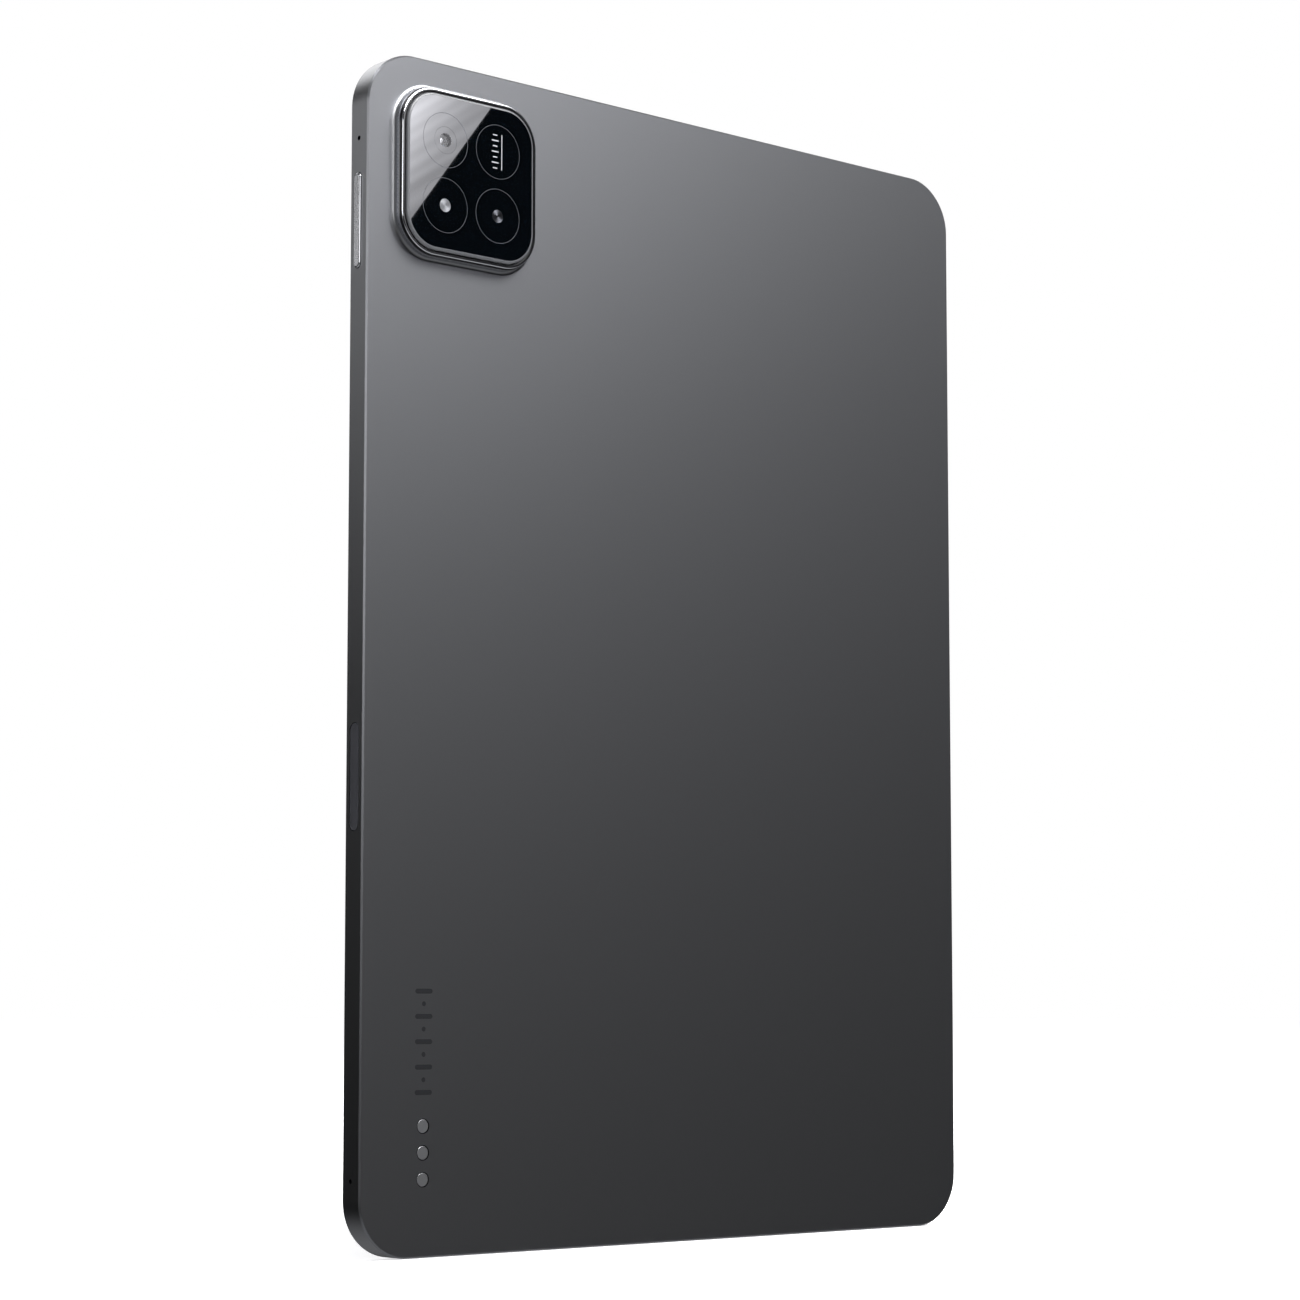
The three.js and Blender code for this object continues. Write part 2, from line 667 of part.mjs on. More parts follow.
// A key, its switch and its bracket. face is where the key ends outside, wall the inner face of the
// wall, spots the places of the switches along the key, and standing says which way the key runs.
function addKey(name, facing, centre, length, face, wall, spots) {
  const standing = facing === 'side';
  const keys = assembly();
  const at = (along) => (standing ? [KEY_Y, centre + along] : [centre + along, KEY_Y]);
  const long = (extra, width) => capsule(...at(0), length + 2 * extra, width, standing);
  const between = (outline, inner, outer) => slab(facing, outline, wall - inner, wall - outer);

  const cap = slab(facing, long(0, KEY_WIDTH), wall - FLANGE_IN, face, KEY_BEVEL);
  const flange = between(
    long(FLANGE_SPREAD, KEY_WIDTH + 2 * FLANGE_LIP),
    FLANGE_IN,
    FLANGE_OUT,
  );
  const nubs = spots.map((spot) =>
    between(circle(...at(spot), NUB_RADIUS, 12), NUB_IN, FLANGE_IN - FLANGE / 2),
  );
  place(keys, name, join(cap, flange, ...nubs), MATERIALS.housing);

  const strip = between(long(FLANGE_SPREAD, KEY_WIDTH + FLANGE_LIP), FLEX_IN, FLEX_OUT);
  const domes = spots.map((spot) =>
    between(circle(...at(spot), DOME_RADIUS, 12), FLEX_OUT + KEY_FLEX / 2, DOME_OUT),
  );
  place(keys, `${name}_switch`, join(strip, ...domes), MATERIALS.flex);
  const plate = between(long(2 * FLANGE_SPREAD, KEY_WIDTH + FLANGE_LIP), BRACKET_IN, BRACKET_OUT);
  place(keys, `${name}_bracket`, plate, MATERIALS.steel);
}

addKey('volume_rocker', 'side', VOLUME_Z, VOLUME_LENGTH, RIGHT + KEY_PROUD, INNER_RIGHT, [
  -VOLUME_LEVER,
  VOLUME_LEVER,
]);
addKey('power_key', 'end', POWER_X, POWER_LENGTH, HEIGHT - POWER_SETBACK, INNER_TOP, [0]);

// ---- Battery ----

function addBattery() {
  const battery = assembly();
  const bottom = CELLS_FROM_BOTTOM;
  const top = HEIGHT - CELLS_FROM_TOP;
  const inner = CELL_GAP / 2;
  const outer = INNER_RIGHT - SIDE_BAY;
  for (const [name, side] of [['battery_cell_left', -1], ['battery_cell_right', 1]]) {
    const outline = roundedRectangle(
      (side * (inner + outer)) / 2,
      (bottom + top) / 2,
      outer - inner,
      top - bottom,
      CELL_CORNER,
      3,
    );
    const cell = slab('back', outline, DISPLAY_BACK + LIFT, INNER_BACK - FIT);
    place(battery, name, cell, MATERIALS.pouch);
  }
  const strip = box(
    [-BATTERY_BOARD_WIDTH / 2, BOARD_FRONT, top + BATTERY_BOARD_GAP],
    [BATTERY_BOARD_WIDTH / 2, BOARD_BACK, MAIN_BOARD_BOTTOM - BATTERY_BOARD_GAP],
  );
  place(battery, 'battery_board', strip, MATERIALS.board);
}

addBattery();

// ---- Boards ----

function screw() {
  const tip = INNER_BACK + FIT;
  const seat = BOARD_FRONT - FILM;
  return turned(
    [
      [0, seat - SCREW_HEAD],
      [SCREW_HEAD_RADIUS, seat - SCREW_HEAD],
      [SCREW_HEAD_RADIUS, seat],
      [SCREW_RADIUS, seat],
      [SCREW_RADIUS, tip],
      [0, tip],
    ],
    12,
  );
}

function addMainBoard() {
  const electronics = assembly();
  const outline = rectangle(
    [MAIN_BOARD_LEFT, MAIN_BOARD_BOTTOM],
    [MAIN_BOARD_RIGHT, MAIN_BOARD_TOP],
  );
  const holes = SCREW_PLACES.map(([x, z]) => circle(x, z, SCREW_RADIUS + SCREW_CLEARANCE, 12));
  const board = slab('back', withHoles(outline, ...holes), BOARD_FRONT, BOARD_BACK);
  place(electronics, 'main_board', board, MATERIALS.board);
  SCREW_PLACES.forEach(([x, z], i) => {
    place(electronics, `board_screw_${i + 1}`, screw(), MATERIALS.steel, [x, 0, z]);
  });

  const low = MAIN_BOARD_BOTTOM + 2 * SCREW_INSET;
  const high = MAIN_BOARD_TOP - SCREW_INSET;
  const front = DISPLAY_BACK + SHIELD_LIFT;
  const shield = ([left, right]) => box([left, front, low], [right, BOARD_FRONT - FILM, high]);
  const power = [
    MAIN_BOARD_LEFT + SHIELD_SIDE_MARGIN,
    MAIN_FLEX_X - MAIN_FLEX_WIDTH / 2 - SHIELD_FLEX_MARGIN,
  ];
  const processor = [
    MAIN_FLEX_X + MAIN_FLEX_WIDTH / 2 + SHIELD_FLEX_MARGIN,
    DISPLAY_FLEX_RIGHT - DISPLAY_FLEX_WIDTH - SHIELD_FLEX_MARGIN,
  ];
  place(electronics, 'power_shield', shield(power), MATERIALS.steel);
  place(electronics, 'processor_shield', shield(processor), MATERIALS.steel);
  const sheet = box(
    [processor[0], front - FILM - GRAPHITE, low],
    [processor[1], front - FILM, high],
  );
  place(electronics, 'graphite_sheet', sheet, MATERIALS.graphite);
}

addMainBoard();

function addUsb() {
  const usb = assembly();
  const end = USB_SETBACK + USB_DEPTH;
  const shell = cut(
    slab('end', capsule(0, 0, USB_WIDTH, USB_HEIGHT), USB_SETBACK, end),
    slab('end', capsule(0, 0, USB_WIDTH - 2 * USB_WALL, USB_HEIGHT - 2 * USB_WALL), 0, end - USB_WALL),
  );
  place(usb, 'usb_shell', shell, MATERIALS.steel);
  const top = end - USB_WALL - FILM;
  const tongue = box(
    [-TONGUE_WIDTH / 2, -TONGUE / 2, top - TONGUE_LENGTH],
    [TONGUE_WIDTH / 2, TONGUE / 2, top],
  );
  place(usb, 'usb_tongue', tongue, MATERIALS.plastic);
  const low = end + 2 * FIT;
  const board = box(
    [-USB_BOARD_WIDTH / 2, BOARD_FRONT, low],
    [USB_BOARD_WIDTH / 2, BOARD_BACK, low + USB_BOARD_HEIGHT],
  );
  place(usb, 'usb_board', board, MATERIALS.board);
}

addUsb();

// Flat cables that cross between the display and the battery
function addFlexes() {
  const cables = assembly();
  const back = DISPLAY_BACK + LIFT - FILM;
  const front = back - FLEX;
  const bottom = USB_SETBACK + USB_DEPTH + USB_BOARD_HEIGHT / 2;
  const main = box(
    [MAIN_FLEX_X - MAIN_FLEX_WIDTH / 2, front, bottom],
    [MAIN_FLEX_X + MAIN_FLEX_WIDTH / 2, back, MAIN_BOARD_BOTTOM + 2 * SCREW_INSET],
  );
  place(cables, 'main_flex', main, MATERIALS.flex);
  const display = box(
    [DISPLAY_FLEX_RIGHT - DISPLAY_FLEX_WIDTH, front, MAIN_BOARD_BOTTOM],
    [DISPLAY_FLEX_RIGHT, back, MAIN_BOARD_TOP],
  );
  place(cables, 'display_flex', display, MATERIALS.flex);
}

addFlexes();

// ---- Speakers, one behind each grille ----

function addSpeakers() {
  const speakers = assembly();
  const [front, back] = [DISPLAY_BACK + LIFT, INNER_BACK - FIT];
  const outline = roundedRectangle(0, 0, SPEAKER_WIDTH, SPEAKER_HEIGHT, 2, 3);
  const enclosure = slab('back', outline, front, back);
  const middle = SIDE_WALL + SPEAKER_GAP + SPEAKER_HEIGHT / 2;
  for (const [end, z] of [['bottom', middle], ['top', HEIGHT - middle]]) {
    for (const [hand, side] of [['left', -1], ['right', 1]]) {
      const position = [side * SPEAKER_FROM_CENTRE, 0, z];
      place(speakers, `speaker_${end}_${hand}`, enclosure, MATERIALS.plastic, position);
    }
  }
}

addSpeakers();

// ---- Keyboard contacts ----

function addContacts() {
  const contacts = assembly(POGO_X, 0, POGO_FROM_BOTTOM);
  const bore = POGO_RADIUS + POGO_CLEARANCE;
  const collar = bore + POGO_COLLAR;
  const plateTop = INNER_BACK - FILM;
  const rows = Array.from({ length: POGO_COUNT }, (_, i) => i * POGO_PITCH);
  const plate = roundedRectangle(
    0,
    POGO_ROW / 2,
    2 * (collar + POGO_MARGIN),
    POGO_ROW + 2 * (collar + POGO_MARGIN),
    1,
    4,
  );
  const collars = rows.map((z) =>
    slab('back', circle(0, z, collar), plateTop - POGO_PLATE / 2, BACK - FILM),
  );
  const bores = rows.map((z) => slab('back', circle(0, z, bore), plateTop - POGO_PLATE - 1, BACK + 1));
  const solid = join(slab('back', plate, plateTop - POGO_PLATE, plateTop), ...collars);
  place(contacts, 'contact_holder', cut(solid, ...bores), MATERIALS.black);

  const floor = plateTop - POGO_PLATE - FILM;
  const pin = turned([
    [0, floor - POGO_FOOT],
    [collar, floor - POGO_FOOT],
    [collar, floor],
    [POGO_RADIUS, floor],
    [POGO_RADIUS, BACK - FIT],
    [0, BACK - FIT],
  ]);
  rows.forEach((z, i) => {
    place(contacts, `contact_${i + 1}`, pin, MATERIALS.contact, [0, 0, z]);
  });
}

addContacts();

// ---- Pen charging ----

function addPenCharging() {
  const pen = assembly();
  const outline = capsule(
    PEN_Y,
    PEN_Z,
    PEN_LENGTH - 2 * SLIDE,
    PEN_WIDTH - 2 * SLIDE,
    true,
  );
  const cover = slab('side', outline, INNER_RIGHT, RIGHT);
  place(pen, 'pen_window', cover, MATERIALS.housing);
  const outer = INNER_RIGHT - FIT;
  const half = PEN_WIDTH / 2;
  const coil = box(
    [outer - PEN_COIL, PEN_Y - half, PEN_Z - PEN_LENGTH / 2],
    [outer, PEN_Y + half, PEN_Z + PEN_LENGTH / 2],
  );
  place(pen, 'pen_coil', coil, MATERIALS.flex);
  const reach = PEN_LENGTH / 2 + MAGNET_GAP + MAGNET_LENGTH / 2;
  for (const [name, side] of [['pen_magnet_lower', -1], ['pen_magnet_upper', 1]]) {
    const z = PEN_Z + side * reach;
    const magnet = box(
      [outer - MAGNET, PEN_Y - half, z - MAGNET_LENGTH / 2],
      [outer, PEN_Y + half, z + MAGNET_LENGTH / 2],
    );
    place(pen, name, magnet, MATERIALS.magnet);
  }
}

addPenCharging();

// ---- Microphones and aerials ----

function addMicrophones() {
  const microphones = assembly();
  const half = MIC_WIDTH / 2;
  for (const [name, z] of Object.entries(MIC_PLACES)) {
    const low = [INNER_RIGHT - FIT - MIC_DEPTH, -half, z - half];
    const capsuleBox = box(low, [INNER_RIGHT - FIT, half, z + half]);
    place(microphones, `microphone_${name}`, capsuleBox, MATERIALS.steel);
  }
}

function addAerials() {
  const aerials = assembly();
  const left = -INNER_RIGHT + AERIAL_INSET;
  const back = INNER_BACK - FIT;
  const bottoms = {
    lower: SIDE_WALL + AERIAL_FROM_END,
    upper: INNER_TOP - AERIAL_FROM_END - AERIAL_HEIGHT,
  };
  for (const [name, z] of Object.entries(bottoms)) {
    const piece = box(
      [left, back - AERIAL_THICKNESS, z],
      [left + AERIAL_WIDTH, back, z + AERIAL_HEIGHT],
    );
    place(aerials, `aerial_${name}`, piece, MATERIALS.plastic);
  }
}

addMicrophones();
addAerials();

// ---- Stand the box of the whole device on the origin ----

tablet.position.set(-KEY_PROUD / 2, -ISLAND_TOP / 2, 0);

export default tablet;
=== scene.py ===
"""A tablet computer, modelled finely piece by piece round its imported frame.

X runs across the short side, Z up the long side and Y through the thickness. The screen faces -Y,
the back faces +Y, and the volume key is on the +X side. Sizes here are in millimetres, and a
finished mesh is in metres.
"""

import logging
import math
from collections.abc import Iterable, Mapping, Sequence
from dataclasses import dataclass, field
from enum import Enum
from typing import Any

import bmesh
import bpy
from bmesh.types import BMEdge, BMFace, BMVert
from mathutils import Matrix, Vector


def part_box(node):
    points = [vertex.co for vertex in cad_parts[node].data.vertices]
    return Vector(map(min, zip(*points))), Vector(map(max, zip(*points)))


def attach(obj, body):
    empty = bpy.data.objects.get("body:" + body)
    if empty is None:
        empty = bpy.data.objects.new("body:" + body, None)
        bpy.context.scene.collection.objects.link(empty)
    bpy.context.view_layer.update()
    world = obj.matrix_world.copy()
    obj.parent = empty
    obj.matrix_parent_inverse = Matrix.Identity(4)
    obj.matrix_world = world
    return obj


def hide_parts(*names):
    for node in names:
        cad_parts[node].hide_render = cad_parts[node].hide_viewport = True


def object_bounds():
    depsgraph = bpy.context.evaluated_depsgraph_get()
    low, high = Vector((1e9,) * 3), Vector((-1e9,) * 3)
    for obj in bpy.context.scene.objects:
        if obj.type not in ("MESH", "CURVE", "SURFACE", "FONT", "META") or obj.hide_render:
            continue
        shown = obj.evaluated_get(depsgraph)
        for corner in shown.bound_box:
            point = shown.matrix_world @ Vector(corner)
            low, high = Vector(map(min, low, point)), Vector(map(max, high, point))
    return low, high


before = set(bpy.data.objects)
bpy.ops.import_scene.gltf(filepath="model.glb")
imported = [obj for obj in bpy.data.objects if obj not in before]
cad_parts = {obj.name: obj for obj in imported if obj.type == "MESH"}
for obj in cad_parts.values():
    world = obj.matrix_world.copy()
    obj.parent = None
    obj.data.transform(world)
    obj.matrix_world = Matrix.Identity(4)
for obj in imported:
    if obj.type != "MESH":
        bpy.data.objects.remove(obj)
CAD_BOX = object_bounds()

MM = 0.001  # a millimetre, in metres
MERGE = 1e-4  # vertices closer than this, in mm, are one
SHARP_ANGLE = math.radians(32)  # a mesh edge that turns more than this is a crisp one
PAST = 1.0  # how far a cutter reaches past what it cuts, in mm
BUMP_STRENGTH = 0.6
SCRATCH_STRETCH = 0.02  # how much finer a brushed pattern is across its scratches than along them
WAVES_PER_UNIT = 20  # the wave texture shows this many bands in one unit of its scale
BRICKS_PER_UNIT = 2  # and the brick texture this many bricks
GREYS = ((0.0, 0.0, 0.0, 1.0), (0.35, 0.35, 0.35, 1.0), (1.0, 1.0, 1.0, 1.0))  # board, lacquer, track

Point = tuple[float, float]

log = logging.getLogger("tablet")


# ---- Measures taken from the frame ----


@dataclass(frozen=True)
class Span:
    """The box of a frame node, in millimetres."""

    low: Vector
    high: Vector

    @classmethod
    def of(cls, node: str) -> "Span":
        """Reads a node's box from the frame.

        Args:
            node: The frame node's name.

        Returns:
            Its span.
        """
        low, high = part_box(node)
        return cls(low / MM, high / MM)

    @property
    def centre(self) -> Vector:
        """The middle of the box."""
        return (self.low + self.high) / 2

    @property
    def size(self) -> Vector:
        """The box's sides."""
        return self.high - self.low

    def plane(self) -> Matrix:
        """Returns the work plane through the box's middle that faces the back."""
        return Facing.BACK.plane((self.centre.x, 0, self.centre.z))


# ---- Finishes ----


class Pattern(Enum):
    """How the fine texture of a finish is laid out."""

    GRAIN = "a fine even grain"
    BRUSHED = "straight scratches along one direction"
    WOVEN = "threads that cross"
    CELLS = "patches with borders"
    TRACKS = "copper tracks under lacquer"


def linear(hex_colour: str) -> tuple[float, float, float, float]:
    """Turns an sRGB colour into linear light.

    Args:
        hex_colour: A colour such as "#5a5b5f".

    Returns:
        Red, green, blue and an alpha of 1, linear.
    """
    channels = (int(hex_colour[i : i + 2], 16) / 255 for i in (1, 3, 5))
    red, green, blue = (c / 12.92 if c <= 0.04045 else ((c + 0.055) / 1.055) ** 2.4 for c in channels)
    return (red, green, blue, 1.0)


def add_node(
    tree: bpy.types.NodeTree,
    kind: str,
    inputs: Mapping[str | int, Any] | None = None,
    **settings: Any,
) -> bpy.types.Node:
    """Adds one node with its settings, values and links.

    Args:
        tree: The node tree to add to.
        kind: The node's type name.
        inputs: For each input socket, a value or the output socket that feeds it.
        **settings: The node's own properties.

    Returns:
        The new node.
    """
    node = tree.nodes.new(kind)
    for name, value in settings.items():
        setattr(node, name, value)
    for name, value in (inputs or {}).items():
        socket = node.inputs[name]
        if isinstance(value, bpy.types.NodeSocket):
            tree.links.new(value, socket)
        else:
            socket.default_value = value
    return node


@dataclass(frozen=True)
class Finish:
    """A real material and the way its surface was made.

    Attributes:
        name: The material's name.
        colour: Its main colour.
        second: The colour that the pattern brings in.
        metallic: 1 for bare metal.
        roughness: The mean roughness.
        spread: How far the pattern moves the roughness to each side.
        pattern: The layout of the texture.
        size: The real size of one grain, scratch, track or thread, in mm.
        depth: The height of the texture, in mm.
        mix: How much of the second colour shows, from 0 to 1.
        ior: The index of refraction, or None to keep the default.
        specular: The shader's specular level.
        coat: The weight of a clear coat.
        coat_roughness: The roughness of that coat.
        transmission: 1 for clear glass or plastic.
    """

    name: str
    colour: str
    second: str
    metallic: float = 0.0
    roughness: float = 0.5
    spread: float = 0.04
    pattern: Pattern = Pattern.GRAIN
    size: float = 0.3
    depth: float = 0.002
    mix: float = 0.5
    ior: float | None = None
    specular: float = 0.5
    coat: float = 0.0
    coat_roughness: float = 0.03
    transmission: float = 0.0

    def texture(self, tree: bpy.types.NodeTree) -> bpy.types.NodeSocket:
        """Adds the nodes of this finish's pattern.

        Args:
            tree: The material's node tree.

        Returns:
            The socket that gives the pattern as a number from 0 to 1.
        """
        place = add_node(tree, "ShaderNodeTexCoord").outputs["Object"]
        scale = 1 / (self.size * MM)
        if self.pattern is Pattern.BRUSHED:
            stretched = {"Vector": place, "Scale": (1.0, 1.0, SCRATCH_STRETCH)}
            place = add_node(tree, "ShaderNodeMapping", stretched).outputs["Vector"]
        inputs = {"Vector": place, "Scale": scale}
        if self.pattern is Pattern.WOVEN:
            inputs["Scale"] = scale / WAVES_PER_UNIT
            warp, weft = (
                add_node(tree, "ShaderNodeTexWave", inputs, bands_direction=axis).outputs["Fac"]
                for axis in ("X", "Y")
            )
            crossing = add_node(tree, "ShaderNodeMath", {0: warp, 1: weft}, operation="MULTIPLY")
            return crossing.outputs["Value"]
        if self.pattern is Pattern.CELLS:
            return add_node(tree, "ShaderNodeTexVoronoi", inputs).outputs["Distance"]
        if self.pattern is Pattern.TRACKS:
            bricks = {"Color1": GREYS[0], "Color2": GREYS[1], "Mortar": GREYS[2], "Mortar Size": 0.06}
            inputs["Scale"] = scale / BRICKS_PER_UNIT
            return add_node(tree, "ShaderNodeTexBrick", inputs | bricks).outputs["Color"]
        inputs |= {"Detail": 3.0, "Roughness": 0.55}
        return add_node(tree, "ShaderNodeTexNoise", inputs).outputs["Fac"]

    def material(self) -> bpy.types.Material:
        """Makes the material, or finds it if it is already made.

        Returns:
            The material.
        """
        made = bpy.data.materials.get(self.name)
        if made is not None:
            return made
        made = bpy.data.materials.new(self.name)
        made.use_nodes = True
        tree = made.node_tree
        tree.nodes.clear()
        pattern = self.texture(tree)
        share = add_node(tree, "ShaderNodeMath", {0: pattern, 1: self.mix}, operation="MULTIPLY")
        colours = {0: share.outputs["Value"], 6: linear(self.colour), 7: linear(self.second)}
        inputs = {
            "Base Color": add_node(tree, "ShaderNodeMix", colours, data_type="RGBA").outputs[2],
            "Roughness": self.roughness,
            "Metallic": self.metallic,
            "Specular IOR Level": self.specular,
            "Coat Weight": self.coat,
            "Coat Roughness": self.coat_roughness,
            "Transmission Weight": self.transmission,
        }
        if self.spread:
            low, high = self.roughness - self.spread, self.roughness + self.spread
            rough = add_node(tree, "ShaderNodeMapRange", {"Value": pattern, "To Min": low, "To Max": high})
            inputs["Roughness"] = rough.outputs["Result"]
        if self.depth:
            relief = {"Height": pattern, "Strength": BUMP_STRENGTH, "Distance": self.depth * MM}
            inputs["Normal"] = add_node(tree, "ShaderNodeBump", relief).outputs["Normal"]
        shader = add_node(tree, "ShaderNodeBsdfPrincipled", inputs)
        if self.ior is not None:
            shader.inputs["IOR"].default_value = self.ior
        add_node(tree, "ShaderNodeOutputMaterial", {"Surface": shader.outputs["BSDF"]})
        return made


# Anodised aluminium, bead-blasted: a silky dark grey whose grain shows only as a soft, wide highlight.
# The real grain is about 0.05 mm and is drawn coarser so that it shows close up.
BLASTED = Finish(
    "anodised_aluminium_bead_blasted", "#7e7f82", "#858689", 1.0, 0.36, 0.03, size=0.18, depth=0.0012
)
# The same aluminium cut by a diamond tool at the rims: a thin bright line.
DIAMOND_CUT = Finish(
    "anodised_aluminium_diamond_cut", "#7b7c80", "#88898d", 1.0, 0.32, 0.05,
    Pattern.BRUSHED, size=0.12, depth=0.0006,
)
# Anodised walls inside holes, recesses and behind the screen: matte, and much darker than the back, as
# painted shade in these recesses.
MILLED_SHADE = Finish("anodised_aluminium_milled_painted_shade", "#26272a", "#323338", 1.0, 0.55, 0.08, size=0.25)
# Stainless steel, mirror-polished: the hard bright line round the camera glass.
POLISHED_STEEL = Finish(
    "stainless_steel_mirror_polished", "#e4e5e9", "#f2f3f6", 1.0, 0.09, 0.03, size=0.5, depth=0.0003
)
# Aluminium with a satin polish, on the frame of the camera island.
SATIN = Finish(
    "aluminium_satin_polished", "#8b8c90", "#96979b", 1.0, 0.27, 0.04, size=0.2, depth=0.0008
)
# The same aluminium polished on the key, which catches one long highlight. Its base colour is much lighter
# than the housing's: a painted highlight on top of the real polish.
POLISHED_KEY_SHEEN = Finish(
    "anodised_aluminium_polished_painted_sheen", "#b6b7bb", "#c0c1c5", 1.0, 0.2, 0.02, size=0.3, depth=0.0003
)
# Polycarbonate, moulded black and glossy: the band and the collars.
BLACK_GLOSS = Finish(
    "polycarbonate_moulded_black_gloss", "#070709", "#0d0d10", 0.0, 0.14, 0.04, size=0.4, depth=0.0006
)
# Matt black paint on turned brass, which swallows stray light inside the lens.
BAFFLE = Finish("brass_painted_matt_black", "#050506", "#0a0a0c", 0.0, 0.8, 0.05, size=0.15, depth=0.002)
# The anodised skin darkened by a laser: it is flush to the touch and a shade deeper than the back.
LASER_MARK = Finish(
    "anodised_aluminium_laser_darkened", "#4b4c4f", "#55565a", 1.0, 0.42, 0.05, size=0.15, depth=0.001
)
# Silicone, moulded: a soft black that gives hardly any shine.
SILICONE = Finish("silicone_moulded_black", "#101113", "#191a1c", 0.0, 0.62, 0.08, size=0.3)
# Toughened glass over black ink: mirror-smooth with a faint cool depth.
INKED_GLASS = Finish(
    "toughened_glass_black_ink", "#010203", "#020305", 0.0, 0.012, 0.004,
    size=18.0, depth=0.0, ior=1.52, specular=1.0, coat=1.0, coat_roughness=0.006,
)
# The same glass where its edge is ground round and lightly polished: a paler, softer band. Its pale grey is
# partly the ground glass and partly a painted reflection of the room on the round edge, so the edge looks lit
# from every side.
GROUND_EDGE_SHEEN = Finish(
    "toughened_glass_ground_edge_painted_sheen", "#37383b", "#424346", 0.0, 0.4, 0.05, size=0.3, depth=0.0004, ior=1.52
)
# Grey in the fine ring grooves cut in the glass: the grooves are real, and their even grey is a painted glint
# that stands for the light caught along their edges.
RING_GLINT_GREY = Finish("glass_ring_groove_painted_glint", "#303136", "#3a3b40", 0.0, 0.35, 0.05, size=0.2, depth=0.0003)
# White ceramic ink, screen-printed on the glass.
WHITE_INK = Finish("ceramic_ink_white", "#7d7d81", "#737377", 0.0, 0.4, 0.05, size=0.15, depth=0.0005)
# Clear crown glass, polished: it shows only by its reflections.
CLEAR_GLASS = Finish(
    "crown_glass_polished", "#ffffff", "#f6f8fb", 0.0, 0.0, 0.0,
    size=6.0, depth=0.0, mix=0.2, ior=1.5, transmission=1.0,
)
# A lens with a purple and green anti-reflection coating over its dark depth.
COATED_LENS = Finish(
    "optical_glass_coated", "#06060f", "#040a0e", 0.0, 0.03, 0.01,
    size=2.5, depth=0.0, mix=1.0, ior=1.6, coat=1.0, coat_roughness=0.01,
)
# Clear polycarbonate over a silvered reflector, moulded with fine ridges.
FLASH_PLASTIC = Finish(
    "polycarbonate_clear_silvered", "#6b6c6f", "#58595d", 0.8, 0.45, 0.1,
    Pattern.CELLS, size=0.35, depth=0.03, mix=0.9,
)
# Yellow phosphor gel over the lamp's chip.
PHOSPHOR = Finish("phosphor_gel_yellow", "#d8c23a", "#e9d860", 0.0, 0.45, 0.1, size=0.2, coat=0.5)
# Nickel silver turned on a lathe: fine rings that give the window an hourglass highlight.
TURNED_METAL = Finish(
    "nickel_silver_turned", "#2f3034", "#45464a", 1.0, 0.3, 0.06, size=0.1, depth=0.002
)
# Gold-plated brass under a grey rhodium flash, lightly rubbed by use.
CONTACT_PLATE = Finish(
    "brass_rhodium_plated", "#a3a4a7", "#8e8f93", 1.0, 0.42, 0.08, size=0.22, depth=0.001
)
# Sheet steel, stamped and tin-plated.
TINNED_STEEL = Finish(
    "steel_tin_plated", "#a2a5a8", "#b5b8bb", 1.0, 0.34, 0.07, Pattern.BRUSHED, size=0.15
)
# Gold plating on the contacts of the charging port.
GOLD = Finish("copper_gold_plated", "#d8ab58", "#e6c07a", 1.0, 0.25, 0.05, size=0.1)
# Liquid crystal panel, switched off: a very dark blue-grey under its polariser.
DARK_PANEL = Finish(
    "polariser_film_over_glass", "#050609", "#08090c", 0.0, 0.12, 0.0,
    size=40.0, depth=0.0, mix=0.7, specular=0.3
)
# Woven polyester mesh that keeps dust out of the speakers.
DUST_MESH = Finish(
    "polyester_mesh_woven_black", "#08080a", "#2a2b2e", 0.0, 0.7, 0.1, Pattern.WOVEN, size=0.12, depth=0.02
)
# Glass-filled nylon, moulded: dull dark grey.
NYLON = Finish("nylon_glass_filled_moulded", "#1c1d20", "#27282b", 0.0, 0.58, 0.08, size=0.35, depth=0.004)
# Printed circuit board under green lacquer.
CIRCUIT_BOARD = Finish(
    "epoxy_board_green_lacquer", "#0c3323", "#1c5a3e", 0.0, 0.32, 0.08, Pattern.TRACKS, size=1.2, depth=0.01
)
# Polyimide film over copper.
POLYIMIDE = Finish(
    "polyimide_film_amber", "#6f4312", "#95601f", 0.0, 0.3, 0.06, Pattern.TRACKS, size=0.6, depth=0.01
)
# Aluminium laminate pouch of a battery cell, crinkled a little by its vacuum seal.
POUCH = Finish(
    "aluminium_laminate_pouch_black", "#1d1e21", "#2c2d31", 0.2, 0.4, 0.1, Pattern.CELLS, size=9.0, depth=0.05
)
# Neodymium magnet, nickel-plated.
NICKEL = Finish("neodymium_nickel_plated", "#b2b1ab", "#a09f99", 1.0, 0.25, 0.06, size=0.4)
# Rolled graphite sheet.
GRAPHITE = Finish(
    "graphite_sheet_rolled", "#1e1f21", "#2d2e31", 0.3, 0.42, 0.08, Pattern.BRUSHED, size=0.3
)
# White diffuser of the backlight in its steel pan.
DIFFUSER = Finish("polyester_diffuser_white", "#c9ccd0", "#dfe2e5", 0.0, 0.5, 0.05, size=0.4)
# Polycarbonate, painted to match the anodised wall round it, a touch flatter.
PAINTED_PLASTIC = Finish(
    "polycarbonate_painted_grey", "#5d5e64", "#67686e", 0.9, 0.45, 0.04, size=0.2, depth=0.001
)
# Black ink on the inner face of the screen's glass.
BLACK_INK = Finish("ink_black_printed", "#030304", "#060607", 0.0, 0.3, 0.05, size=0.4, depth=0.0)




# ---- Modelling ----


